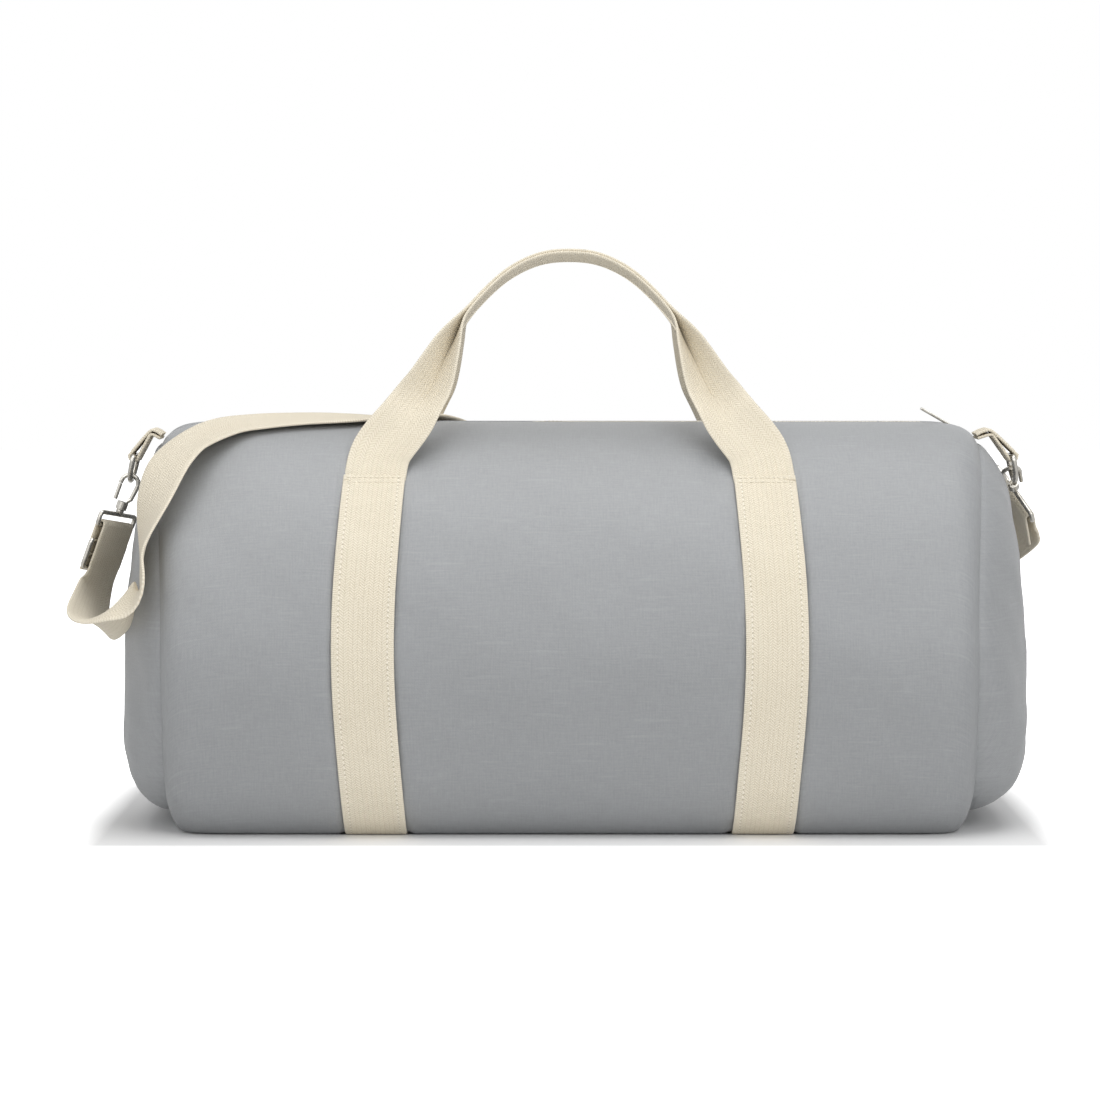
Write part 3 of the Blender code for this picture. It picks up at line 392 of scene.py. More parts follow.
def lengths(route):
    """How far along the route each of its points is."""
    found = [0.0]
    for before, after in zip(route, route[1:]):
        found.append(found[-1] + (after - before).length)
    return found


fold_crease = 0.0012  # how softly folded webbing turns, as a radius
# Places across the webbing as shares of its width, from one selvedge to the other
band_shares = (-0.5, -0.494, -0.47, -0.38, -0.26, -0.13, 0.0, 0.13, 0.26, 0.38, 0.47, 0.494, 0.5)


def selvedge_height(share):
    """How thick the webbing is at a share of its width: full, and rounded off at its selvedges."""
    away = (0.5 - abs(share)) / 0.03
    return sqrt(max(0.0, 1 - (1 - min(1.0, away)) ** 2))


def band(name, centres, across, material, body, replaced, width=webbing_width, fold=None, fronts=None):
    """Webbing along a route. It can be folded lengthwise by an angle at each point, towards `fronts`."""
    points, places = [], []
    gone, along = lengths(centres), tangents(centres)
    for i, centre in enumerate(centres):
        side = (across[i] - along[i] * across[i].dot(along[i])).normalized()
        up = along[i].cross(side).normalized()
        angle = fold[i] if fold else 0.0
        front = up
        if fronts:
            front = (fronts[i] - along[i] * fronts[i].dot(along[i])).normalized()
        ring = []
        for share in band_shares:
            away = share * width
            slanted = sqrt(away * away + fold_crease * fold_crease)
            place = centre + side * away * cos(angle) + front * (slanted - fold_crease) * sin(angle)
            way = side * cos(angle) + front * away / slanted * sin(angle)
            normal = along[i].cross(way).normalized()
            ring.append((place, normal * selvedge_height(share) * webbing_thickness / 2, away))
        under = ring[-2:0:-1]
        points += [place + offset for place, offset, away in ring]
        points += [place - offset for place, offset, away in under]
        places += [(gone[i], away) for place, offset, away in ring + under]
    faces = lofted(len(centres), 2 * len(band_shares) - 2)
    return add_piece(name, points, faces, material, body, replaced, places)


# The barrel's canvas


def shoulder(x):
    """0 along the barrel and 1 at its end seams."""
    return min(abs(x) / half_length, 1) ** shoulder_power


def barrel_point(x, angle, lift=0.0):
    """The barrel's outer surface at x, at an angle from the crest towards the front, raised by lift."""
    share = shoulder(x)
    centre = mid_centre + (seam_centre - mid_centre) * share
    half_height = mid_half_height + (seam_half_height - mid_half_height) * share
    depth = half_depth + (seam_half_depth - half_depth) * share
    reach = crest_reach * (x / half_length) ** 4 * max(cos(angle), 0) ** 2
    spread = base_fullness * min(cos(angle), 0) ** 4
    y = -(depth + lift) * sin(angle) * (1 - belly_share * cos(angle) + spread)
    z = max(-lift, 0.0, centre + (half_height + lift) * cos(angle))
    return Vector((x + copysign(reach, x), y, z))


def angle_at_depth(x, y):
    """The angle at which the upper front surface stands y in front of the middle."""
    low, high = 0.0, pi / 2
    while high - low > 1e-7:
        middle = (low + high) / 2
        if -barrel_point(x, middle).y < y:
            low = middle
        else:
            high = middle
    return low


def front_angle(angle):
    """The same place on the front side, for an angle on either side."""
    return min(angle, 2 * pi - angle)


def belt_shift(angle):
    """How far the belts stand outside their mean place: they are pulled in at the crest and the base."""
    return -belts_in + belts_spread * sin(front_angle(angle)) ** 4


def cloth_noise(x, angle, depth, size, seed, slant=0.0):
    """Smooth noise over the barrel, with dents about `size` metres long and drawn out along a slant."""
    around = angle * half_depth
    return depth * noise.noise(Vector(((x + slant * around) / size, around / size, seed)))


# The canvas's dents: how deep, how long, where in the noise, and how slanted
dent_sizes = ((0.0024, 0.120, 2.3, -0.6), (0.0011, 0.050, 7.1, -0.7), (0.00035, 0.017, 11.7, 0.0))
# Puckers: how deep and how long. The canvas is drawn in by its end seams and sinks beside the belts
seam_puckers = (0.0009, 0.013)
seam_pull = 0.0003
seam_groove = 0.0018
belt_puckers = (0.0005, 0.011)
belt_groove = 0.0017
# The handles' pull leaves a hollow beside each leg
hollow_depth = 0.0034
hollow_x = 0.094
hollow_angle = 0.62
# The hanging strap presses the left shoulder in
pressed_depth = 0.0075
pressed_angle = radians(34)
pressed_reach = radians(22)


def fading(away, reach):
    """1 at a place, and softly less away from it."""
    return exp(-((away / reach) ** 2))


def rumple(x, angle):
    """Soft dents and puckers of the canvas, outwards in metres."""
    level = front_angle(angle)
    held = smooth_step(level, 0.06, 0.5) * (1 - smooth_step(level, 2.15, 2.62))
    lift = held * sum(cloth_noise(x, angle, *sizes) for sizes in dent_sizes)
    to_seam = half_length - abs(x)
    pull = fading(to_seam, 0.020) * (1 - smooth_step(level, 2.5, 2.8))
    lift += pull * (cloth_noise(0.0, angle, *seam_puckers, 4.0 + copysign(1, x)) - seam_pull)
    lift -= seam_groove * fading(to_seam, 0.0016)
    beside = abs(abs(x) - belt_x - belt_shift(angle)) - belt_half
    if level > stitch_angle - 0.25:
        near = fading(max(beside, 0), 0.008)
        lift += near * cloth_noise(0.0, angle, *belt_puckers, 20.0 + x * 9)
        sunk = smooth_step(level, stitch_angle - 0.18, stitch_angle)
        lift -= belt_groove * limited(1 - beside / belt_margin) * sunk
    lift -= hollow_depth * fading(abs(x) - hollow_x, 0.012) * fading(level - hollow_angle, 0.16)
    if x < 0 and angle < pi:
        pressed = smooth_step(-x, 0.19, 0.245) * fading(angle - pressed_angle, pressed_reach)
        lift -= pressed_depth * pressed
    return lift


def canvas_point(x, angle, lift=0.0):
    return barrel_point(x, angle, rumple(x, angle) + lift)


grid_pitch = 0.004
seam_pitch = 0.0013
least_pitch = 0.0009


def grid_stations():
    """The grid's places along the bag, closer together beside the belts and at the seams."""
    found = {round(-half_length + grid_pitch * i, 6) for i in range(125)}
    opening = (corner_low, mouth_low, mouth_high, corner_high)
    for edge in (belt_x - belt_half, belt_x + belt_half):
        for offset in (-belt_margin, -0.0018, 0.0, 0.0018, belt_margin):
            found.update((round(edge + offset, 6), round(-edge - offset, 6)))
    for i in range(12):
        away = round(half_length - seam_pitch * i, 6)
        found.update((away, -away))
    found.update(opening)
    kept = []
    for x in sorted(found):
        if not kept or x - kept[-1] >= least_pitch:
            kept.append(x)
        elif x in opening:
            kept[-1] = x
    return kept


strip_columns = 9
side_columns = 66
lip_shape = ((0.0024, 0.0030), (0.0021, 0.0016), (0.0013, 0.0003))  # inwards and down from the hem


def warp(x, angle):
    """Lets the grid's lines beside the belts follow the belts' edges."""
    away = abs(abs(x) - belt_x) - belt_half - belt_margin
    share = limited(1 - away / 0.035) * smooth_step(front_angle(angle), 0.45, 0.6)
    return x + copysign(belt_shift(angle), x) * share


def grid_column(x):
    """Points and cloth coordinates round the barrel at x, from the front hem to the rear hem."""
    hem = angle_at_depth(x, slot_half_width + hem_radius)
    edge = angle_at_depth(x, strip_edge)
    angles = [hem + (edge - hem) * k / strip_columns for k in range(strip_columns + 1)]
    angles += [edge + (pi - edge) * k / side_columns for k in range(1, side_columns + 1)]
    whole = angles + [2 * pi - angle for angle in reversed(angles[:-1])]
    points = [canvas_point(warp(x, angle), angle) for angle in whole]
    front = [points[0] + Vector((0, inwards, -down)) for inwards, down in lip_shape]
    rear = [points[-1] + Vector((0, -inwards, -down)) for inwards, down in reversed(lip_shape)]
    points = front + points + rear
    gone = lengths(points)
    middle = gone[-1] / 2
    return points, [(x, middle - abs(away - middle)) for away in gone]


stations = grid_stations()
grid = [grid_column(x) for x in stations]
column_count = len(grid[0][0])
strip_cells = strip_columns + len(lip_shape)


def grid_normal(i, j):
    here = grid[i][0]
    before, after = grid[max(i - 1, 0)][0][j], grid[min(i + 1, len(grid) - 1)][0][j]
    back, ahead = here[max(j - 1, 0)], here[min(j + 1, column_count - 1)]
    return (ahead - back).cross(after - before).normalized()


def canvas_piece(name, kept, body=None, replaced=()):
    """The cells of the grid that `kept` picks, as canvas with its thickness."""
    index = {}
    outer, inner, places, faces = [], [], [], []
    for i in range(len(grid) - 1):
        for j in range(column_count - 1):
            if not kept(stations[i], j):
                continue
            face = []
            for a, b in ((i, j), (i, j + 1), (i + 1, j + 1), (i + 1, j)):
                if (a, b) not in index:
                    index[a, b] = len(outer)
                    point = grid[a][0][b]
                    outer.append(point)
                    inner.append(point - grid_normal(a, b) * canvas_thickness)
                    places.append(grid[a][1][b])
                face.append(index[a, b])
            faces.append(tuple(face))
    faces = walled(faces, len(outer))
    return add_piece(name, outer + inner, faces, canvas, body, replaced, places + places)


def in_strip(j):
    return j < strip_cells or j >= column_count - 1 - strip_cells


def strip_side(j):
    return 1 if j < column_count / 2 else -1


# Each stretch of the top: its name, its ends, and its corner: none for the middle, and for a corner
# the x from which it would give way to the canvas that opens, the direction, and the length over which
# it would
stretches = (
    ("left_corner", corner_low, mouth_low, (mouth_low, 1, 0.030)),
    ("middle", mouth_low, mouth_high, None),
    ("right_corner", mouth_high, corner_high, (mouth_high, -1, 0.018)),
)


def follow(made):
    """Bakes a piece of the top's place into its mesh, where it then stays."""
    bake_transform(made)


def make_barrel():
    def in_body(x, j):
        return not (corner_low <= x < corner_high and in_strip(j))

    canvas_piece("barrel", in_body, "bag", ("barrel_panel",))
    for side, word in ((1, "front"), (-1, "rear")):
        for name, low, high, corner in stretches:

            def in_stretch(x, j):
                return low <= x < high and in_strip(j) and strip_side(j) == side

            made = canvas_piece("mouth_" + word + "_" + name, in_stretch)
            if name == "middle":
                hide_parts("mouth_" + word)
            follow(made)


# End panels


def dome_point(side, bulge, share, angle, lift=0.0):
    """The end panel at a share of the way from its middle to its seam."""
    rim = canvas_point(side * half_length, angle, lift * 0.5)
    apex = half_length + bulge
    rim_x = abs(rim.x)
    # The lower part stays full almost down to the floor
    fullness = 3 + 4 * min(cos(angle), 0) ** 2
    rise = (apex - rim_x) * (1 - share**fullness) ** 0.65
    around = Vector((cos(angle), sin(angle), 0)) * share
    dents = 0.0030 * noise.noise(around * 1.9 + Vector((side * 3.0, 0, 5.0)))
    dents += 0.0012 * noise.noise(around * 5.5 + Vector((side * 3.0, 0, 9.0)))
    inner_part = smooth_step(1 - share, 0.0, 0.12)
    pucker = 0.0011 * noise.noise(Vector((angle * 9, side * 2.0, 1.0)))
    pucker *= fading(1 - share, 0.10)
    x = rim_x + rise + (dents + pucker) * inner_part + lift
    y = rim.y * share
    z = bulge_height + (rim.z - bulge_height) * share
    return Vector((side * x, y, z))


def make_end_panel(name, side, bulge, node):
    shares = [0.0] + [0.04 + 0.90 * i / 22 for i in range(23)] + [0.955, 0.97, 0.98, 0.988, 0.994, 1.0]
    columns = 132
    angles = [2 * pi * k / columns for k in range(columns)]
    outer = [dome_point(side, bulge, share, angle) for share in shares for angle in angles]
    faces = []
    for i in range(len(shares) - 1):
        for k in range(columns):
            here, there = i * columns + k, i * columns + (k + 1) % columns
            faces.append((here, there, there + columns, here + columns))
    # The first ring is one point, the panel's middle
    points = [sum(outer[:columns], Vector()) / columns] + outer[columns:]
    kept = [tuple(max(v - columns + 1, 0) for v in face) for face in faces]
    faces = walled([tuple(dict.fromkeys(face)) for face in kept], len(points))
    places = [(point.y, point.z) for point in outer[:1] + outer[columns:]]
    inner = []
    for point in points:
        narrowed = 0.011 * (1 - (abs(point.x) - half_length) / (bulge + 0.002))
        height = (point.z - bulge_height) * narrowed
        inner.append(point - Vector((side * canvas_thickness, point.y * narrowed, height)))
    add_piece(name, points + inner, faces, canvas, "bag", (node,), places + places)


def make_binding(name, sign, node):
    """The tape over the raw edges inside an end seam. It stays open where the zip tape ends."""
    opening = angle_at_depth(half_length, tape_half_width + 0.0014)
    near, far = half_length - canvas_thickness, half_length - 0.0070
    over, under = -0.0030, -0.0030 - tape_thickness
    steps = 120
    points = []
    for i in range(steps + 1):
        angle = opening + 2 * (pi - opening) * i / steps
        for x, lift in ((near, over), (far, over), (far, under), (near, under)):
            points.append(canvas_point(sign * x, angle, lift))
    add_piece(name, points, lofted(steps + 1, 4), tape_cloth, "bag", (node,))


# Belts and handles


def canvas_lift(x, angle):
    """How far the canvas on both sides of a belt stands out."""
    return sum(rumple(x + offset, angle) for offset in (-beside_belt, beside_belt)) / 2


def make_belt(name, sign, node):
    """Webbing sewn round the barrel, from one handle seam to the other."""
    steps = 150
    centres = []
    for i in range(steps + 1):
        angle = stitch_angle + (2 * pi - 2 * stitch_angle) * i / steps
        x = sign * (belt_x + belt_shift(angle))
        centre = barrel_point(x, angle, canvas_lift(x, angle) - webbing_thickness / 2 + belt_raise)
        centre.z = max(centre.z, webbing_thickness / 2)
        centres.append(centre)
    across = [Vector((1, 0, 0))] * len(centres)
    band(name, centres, across, sewn_webbing, "bag", (node,))


# One leg of a handle from its stitch line to the top of the arch. Each row gives the place along
# the bag, the height and the depth as shares, and how far the webbing is folded
leg_shares = (
    (1.00, 0.00, 1.00, 0.00),
    (0.965, 0.12, 0.84, 0.03),
    (0.830, 0.262, 0.69, 0.20),
    (0.735, 0.378, 0.52, 0.42),
    (0.635, 0.565, 0.365, 0.72),
    (0.550, 0.697, 0.25, 0.97),
    (0.410, 0.835, 0.14, 1.00),
    (0.285, 0.922, 0.06, 1.00),
    (0.145, 0.976, 0.015, 1.00),
    (0.00, 0.990, 0.00, 1.00),
)
flat_share = 0.4
handle_sunk = 0.0002


def make_handle(name, side, node):
    """A carry handle: flat at its stitch lines and folded in half over the grip."""
    steps = 10
    start_x = belt_x + belt_shift(stitch_angle)
    stitch = canvas_point(start_x, stitch_angle, -handle_sunk)
    depth = -stitch.y - grip_back
    hidden_angle = stitch_angle + under_belt
    hidden = canvas_point(belt_x + belt_shift(hidden_angle), hidden_angle, -handle_sunk)
    leg, folds = [Vector((-hidden.x, hidden.y, hidden.z))], [0.0]
    for along_share, up, back, fold in leg_shares:
        y = -(grip_back + depth * back)
        leg.append(Vector((-start_x * along_share, y, stitch.z + handle_rise * up)))
        folds.append(fold)
    points = leg + [Vector((-p.x, p.y, p.z)) for p in reversed(leg[:-1])]
    folds += list(reversed(folds[:-1]))
    route = smooth_route(points, steps)
    fold_route = smooth_route([Vector((fold, 0, 0)) for fold in folds], steps)
    along = tangents(route)
    half_way = len(route) // 2
    across, fronts, angles = [], [], []
    for i, place in enumerate(route):
        nearest = min(i, len(route) - 1 - i)
        level = max(1, min(nearest, half_way * 2 // 3))
        lean = route[level + 1] - route[level - 1]
        front = Vector((0, -lean.z, lean.y)).normalized()
        straight = Vector((1 if i < half_way else -1, 0, 0))
        square = along[i].cross(front).normalized()
        turned = limited((place.z - stitch.z) / (flat_share * handle_rise))
        across.append(straight.lerp(square, turned).normalized())
        fronts.append(front)
        angles.append(limited(fold_route[i].x) * fold_angle)
    mirrored = [[Vector((p.x, side * p.y, p.z)) for p in each] for each in (route, across, fronts)]
    route, across, fronts = mirrored
    made = band(name, route, across, webbing, None, (node,), fold=angles, fronts=fronts)
    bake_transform(made)


# Zip


def crest_height(x):
    """The height of the front hem at x."""
    return barrel_point(x, angle_at_depth(x, slot_half_width + hem_radius)).z


def zip_arc(x):
    """The height of the long arc that the slider runs along."""
    drop = zip_top_height - zip_rest_height
    radius = ((slider_rest - zip_top_x) ** 2 + drop**2) / (2 * drop)
    return zip_top_height - radius + sqrt(radius**2 - (x - zip_top_x) ** 2)


# Where along the bag the tape goes down and up again
dip_at_slider = (0.222, 0.2375)
dip_at_stop = (-0.120, -0.085)
rise_from_stop = (-0.050, -0.010)
fall_start = 0.238
teeth_start = -0.240
teeth_end = 0.2385
tape_arch = 0.0016


def zip_height(x):
    """The middle of the zip tape at x: up at the hems, down at the slider, and down to both seams."""
    wave = 0.0005 * noise.noise(Vector((x / 0.045, 0.0, 31.0)))
    raised = min(crest_height(max(-0.24, min(x, 0.24))) - 0.0008 + wave, barrel_height + 0.0004)
    right = smooth_step(x, *dip_at_slider)
    # By its open stop the tape dips to let the slider sit on the teeth
    left = smooth_step(x, *dip_at_stop) * (1 - smooth_step(x, *rise_from_stop))
    low = max(right, left)
    height = raised * (1 - low) + min(raised, zip_arc(x)) * low
    fall_right = (x - slider_rest - slider_length / 2) / 0.0035
    fall_left = (-x - fall_start) / (zip_end - fall_start)
    fall = limited(max(fall_right, fall_left))
    return height * (1 - fall) + tape_end_height * fall


def finish_top(made, side, corner, nodes=()):
    """A piece by the teeth rides the bag, moves with the opening canvas, or stays in place at its
    corner.
    """
    if corner == "fixed":
        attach(made, "bag")
    elif corner is None:
        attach(made, "mouth_front" if side > 0 else "mouth_rear")
    else:
        follow(made)
    if nodes:
        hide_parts(*nodes)


def make_tape(name, low, high, side, corner, nodes=()):
    """Half of the zip tape over a stretch, arched a little towards its teeth."""
    steps = max(4, int((high - low) / 0.004))
    columns = 7
    top = []
    for i in range(steps + 1):
        x = low + (high - low) * i / steps
        arch = tape_arch * (1 - smooth_step(x, 0.230, 0.2375))
        for k in range(columns):
            y = teeth_y + (tape_half_width - teeth_y) * k / (columns - 1)
            z = zip_height(x) - arch * (y / tape_half_width) ** 2 + tape_thickness / 2
            top.append(Vector((x, -side * y, z)))
    faces = []
    for i in range(steps):
        for k in range(columns - 1):
            here = i * columns + k
            faces.append((here, here + 1, here + columns + 1, here + columns))
    bottom = [p - Vector((0, 0, tape_thickness)) for p in top]
    made = add_piece(name, top + bottom, walled(faces, len(top)), tape_cloth)
    finish_top(made, side, corner, nodes)


def block_mesh(name, size, bevel):
    """A small block with rounded edges."""
    mesh = bpy.data.meshes.new(name)
    shaped = bmesh.new()
    bmesh.ops.create_cube(shaped, size=1)
    bmesh.ops.scale(shaped, vec=size, verts=shaped.verts)
    bmesh.ops.bevel(shaped, geom=shaped.edges[:], offset=bevel, segments=1, affect="EDGES")
    shaped.to_mesh(mesh)
    shaped.free()
    return mesh


def copies_on(name, places, ways, shape, material):
    """Copies of a small shape at the places, each turned from +X to its way, as one plain mesh."""
    marks = bpy.data.meshes.new(name + "_places")
    marks.from_pydata([tuple(p) for p in places], [], [])
    kept = marks.attributes.new("way", "FLOAT_VECTOR", "POINT")
    for i, way in enumerate(ways):
        kept.data[i].vector = way
    made, small = in_scene(name, marks), in_scene(name + "_shape", shape)
    group = bpy.data.node_groups.new(name, "GeometryNodeTree")
    group.interface.new_socket("Geometry", in_out="INPUT", socket_type="NodeSocketGeometry")
    size = group.interface.new_socket("Size", in_out="INPUT", socket_type="NodeSocketFloat")
    group.interface.new_socket("Geometry", in_out="OUTPUT", socket_type="NodeSocketGeometry")
    marked = group.nodes.new("NodeGroupInput")
    end = group.nodes.new("NodeGroupOutput").name
    turned = ("align", ("attribute", "way"))
    placed = ("copies", "marked", ("object", small), turned, "marked.Size")
    painted = ("paint", ("real", placed), material)
    build(group, {}, end, {"Geometry": painted}, {"marked": (marked, "Geometry")})
    step = made.modifiers.new("copies", "NODES")
    step.node_group = group
    step[size.identifier] = 1.0
    bpy.context.view_layer.update()
    mesh = bpy.data.meshes.new_from_object(made.evaluated_get(bpy.context.evaluated_depsgraph_get()))
    made.modifiers.clear()
    made.data = mesh
    bpy.data.objects.remove(small, do_unlink=True)
    mesh.shade_smooth()
    mesh.set_sharp_from_angle(angle=radians(40))
    return made


def make_teeth(name, low, high, side, corner, nodes=()):
    """One row of teeth over a stretch of the zip."""
    first = ceil(low / tooth_pitch + 0.25) * tooth_pitch + (tooth_pitch / 2 if side > 0 else 0)
    count = int((high - tooth_size[0] / 2 - first) / tooth_pitch) + 1
    places = [Vector((first + k * tooth_pitch, -side * teeth_y, 0)) for k in range(count)]
    ways = []
    for place in places:
        place.z = zip_height(place.x) + 0.0002
        rise = zip_height(place.x + 0.001) - zip_height(place.x - 0.001)
        ways.append(Vector((0.002, 0, rise)).normalized())
    shape = block_mesh("tooth", tooth_size, 0.00025)
    made = copies_on(name, places, ways, shape, zip_metal)
    finish_top(made, side, corner, nodes)


zip_parts = ((make_tape, "tape_", "zip_tape_"), (make_teeth, "teeth_", "zip_teeth_"))
# The zip's ends, which stay with the bag
zip_ends = (
    (make_tape, "tape_", "zip_tape_", zip_start, zip_end),
    (make_teeth, "teeth_", "zip_chain_", teeth_start, teeth_end),
)


def make_zip():
    for side, word in ((1, "front"), (-1, "rear")):
        for make, kind, node, start, stop in zip_ends:
            for end, low, high in (("left", start, corner_low), ("right", corner_high, stop)):
                make(kind + end + "_end_" + word, low, high, side, "fixed", (node + end + "_" + word,))
        for name, low, high, corner in stretches:
            for make, kind, node in zip_parts:
                nodes = (node + word,) if name == "middle" else ()
                make(kind + name + "_" + word, low, high, side, corner, nodes)


# Rings, hooks and the strap's metal. Side 1 is the right end, where the zip closes

ring_wire = 0.0034
ring_half_width = 0.0145
ring_side = 0.0015
ring_out = {1: 0.0225, -1: 0.0170}
ring_drop = 0.0105
ring_tilt = {1: radians(10), -1: radians(12)}
tab_width = 0.025
tab_arch = 0.0050
hook_wire = 0.0030
eye_radius = 0.0040
shank_length = 0.0105
collar_radius = 0.0036
neck_length = 0.0018
loop_wire = 0.0030
loop_half_width = 0.0224
loop_height = 0.0052
hook_lean_left = radians(20)
hook_turn_right = radians(37)
hook_lean_right_share = 0.10
clearance = 0.0003
layer_gap = 0.0038
loop_hang = 0.0625
sewn_length = 0.027
slide_share = 0.72
slide_height = 0.0180
slide_wire = 0.0030
loop_way_left = (0.41, 0.91, 0.0)
loop_turn_right = (0.9, 0.3, 0.3)


def ring_frame(side):
    """The middle of a ring's bar, the bar's direction and the way down the ring."""
    bar = Vector((side * (half_length + crest_reach + ring_out[side]), 0, seam_top - ring_drop))
    down = Vector((side * sin(ring_tilt[side]), 0, -cos(ring_tilt[side])))
    return bar, Vector((0, 1, 0)), down


def hook_frame(side):
    """The middle of the hook's eye and its axis away from the ring."""
    bar, across, down = ring_frame(side)
    if side < 0:
        wire_place = bar + down * (ring_side + ring_half_width)
        axis = Vector((-sin(hook_lean_left), 0, -cos(hook_lean_left)))
        wire_way = across
    else:
        radial = across * cos(hook_turn_right) + down * sin(hook_turn_right)
        wire_place = bar + down * ring_side + radial * ring_half_width
        axis = (radial + Vector((hook_lean_right_share, 0, 0))).normalized()
        wire_way = -across * sin(hook_turn_right) + down * cos(hook_turn_right)
    axis = (axis - wire_way * axis.dot(wire_way)).normalized()
    return wire_place + axis * (eye_radius - ring_wire / 2 - clearance), axis


def loop_way(side):
    """The direction of the swivel loop's long side, square to the hook's axis."""
    axis = hook_frame(side)[1]
    wide = Vector(loop_way_left) if side < 0 else axis.cross(Vector(loop_turn_right))
    return (wide - axis * wide.dot(axis)).normalized()


def loop_bar(side):
    """The middle of the bar that the strap goes round."""
    eye, axis = hook_frame(side)
    neck_end = eye_radius + hook_wire + shank_length + clearance + neck_length
    return eye + axis * (neck_end + loop_height + 1.5 * loop_wire)


def make_tab(name, side, node):
    """Webbing folded round the ring's bar, with both ends in the seam."""
    bar = ring_frame(side)[0]
    half = webbing_thickness / 2
    wrap = ring_wire / 2 + half + 0.0001
    seam_x = half_length + crest_reach - 0.0006
    upper_start = Vector((seam_x, 0, seam_top + 2 * webbing_thickness - 0.0004))
    middle = Vector(((seam_x + abs(bar.x)) / 2 - wrap / 3, 0, upper_start.z + tab_arch / 3))
    points = [upper_start, (upper_start + middle) / 2 + Vector((0, 0, tab_arch / 3)), middle]
    lower_end = Vector((seam_x + half, 0, seam_top + webbing_thickness - 0.0008))
    away = Vector((abs(bar.x), 0, bar.z))
    coming = atan2(away.z - middle.z, away.x - middle.x) + pi / 2
    # The two layers are sewn together from the seam to where the ring's bar parts them
    wrap_top = away + Vector((cos(coming), 0, sin(coming))) * wrap
    outwards = (wrap_top - middle).normalized()
    below = Vector((outwards.z, 0, -outwards.x)) * (webbing_thickness + 0.0004)
    sewn = [middle + (wrap_top - middle) * share + below for share in (0.22, 0.0)]
    leaving = atan2(sewn[0].z - away.z, sewn[0].x - away.x) + pi / 2 - 2 * pi
    for i in range(9):
        angle = coming + (leaving - coming) * i / 8
        points.append(away + Vector((cos(angle), 0, sin(angle))) * wrap)
    points += sewn + [lower_end]
    route = smooth_route([Vector((side * p.x, p.y, p.z)) for p in points], 4)
    across = [Vector((0, 1, 0))] * len(route)
    band(name, route, across, webbing, "bag", (node,), tab_width)


# The hanging loop beyond the left hook: out, forward and down from the hook's loop as shares of the
# length that it hangs, and the way the strap's outer side faces
hanging_shares = (
    (0.19, 0.15, 0.72, (0.85, -0.30, 0.20)),
    (0.17, 0.52, 0.87, (0.75, 0.00, 0.60)),
    (0.09, 0.97, 0.90, (0.45, 0.10, 0.90)),
    (-0.05, 1.40, 0.84, (0.05, 0.00, 1.00)),
    (-0.22, 1.70, 0.66, (-0.55, -0.20, 0.80)),
)
# Over the left shoulder: places in metres and the way that the strap's outer side faces
shoulder_places = (
    ((-0.2601, -0.1118, 0.1513), (-0.97, -0.16, 0.18)),
    ((-0.2595, -0.1030, 0.1722), (-0.96, -0.08, 0.19)),
    ((-0.2530, -0.0885, 0.2065), (-0.70, -0.51, 0.51)),
    ((-0.2457, -0.0740, 0.2275), (-0.46, -0.50, 0.72)),
    ((-0.2350, -0.0540, 0.2395), (-0.29, -0.36, 0.88)),
    ((-0.2160, -0.0345, 0.2490), (-0.09, -0.26, 0.96)),
    ((-0.1950, -0.0235, 0.2520), (-0.04, -0.21, 0.98)),
    ((-0.1690, -0.0160, 0.2535), (-0.02, -0.15, 0.99)),
    ((-0.1400, -0.0105, 0.2540), (0.0, -0.09, 1.0)),
)
# The rest of the strap over the bag: place along the bag as a share of the half length, angle from
# the crest in degrees, lift over the canvas as a share of the webbing's width, and how much the
# strap's outer side faces the end of the bag
draped_shares = (
    (-0.468, -1.0, 0.06, 0.0),
    (-0.380, -12.0, 0.09, 0.0),
    (-0.300, -25.0, 0.08, 0.0),
    (-0.226, -40.0, 0.08, 0.0),
    (-0.145, -57.0, 0.08, 0.0),
    (-0.020, -72.0, 0.09, 0.0),
    (0.145, -84.0, 0.12, 0.0),
    (0.343, -90.0, 0.14, 0.0),
    (0.544, -89.0, 0.14, 0.0),
    (0.726, -84.0, 0.13, 0.0),
    (0.867, -77.0, 0.15, 0.1),
    (0.975, -72.0, 0.21, 0.4),
    (1.060, -69.0, 0.20, 1.0),
    (1.135, -66.0, -0.05, 1.6),
)
straight_shares = (0.07, 0.35, 0.75, 1.15)


def doubled_end(side):
    """The sewn end, the turn round the bar and the start of the single layer, from the sewn end on."""
    axis = hook_frame(side)[1]
    bar = loop_bar(side)
    facing = axis.cross(loop_way(side)).normalized()
    if facing.x < 0:
        facing = -facing
    clear_of_bar = layer_gap / 2 + webbing_thickness / 2
    outside = bar + facing * clear_of_bar
    single = [(outside + axis * sewn_length * share, facing) for share in straight_shares]
    returned = [(place - facing * 2 * clear_of_bar, -facing) for place, way in reversed(single)]
    turn = []
    for i in range(7):
        angle = pi * (1 - i / 6)
        way = facing * cos(angle) - axis * sin(angle)
        turn.append((bar + way * clear_of_bar, way))
    return returned + turn + single


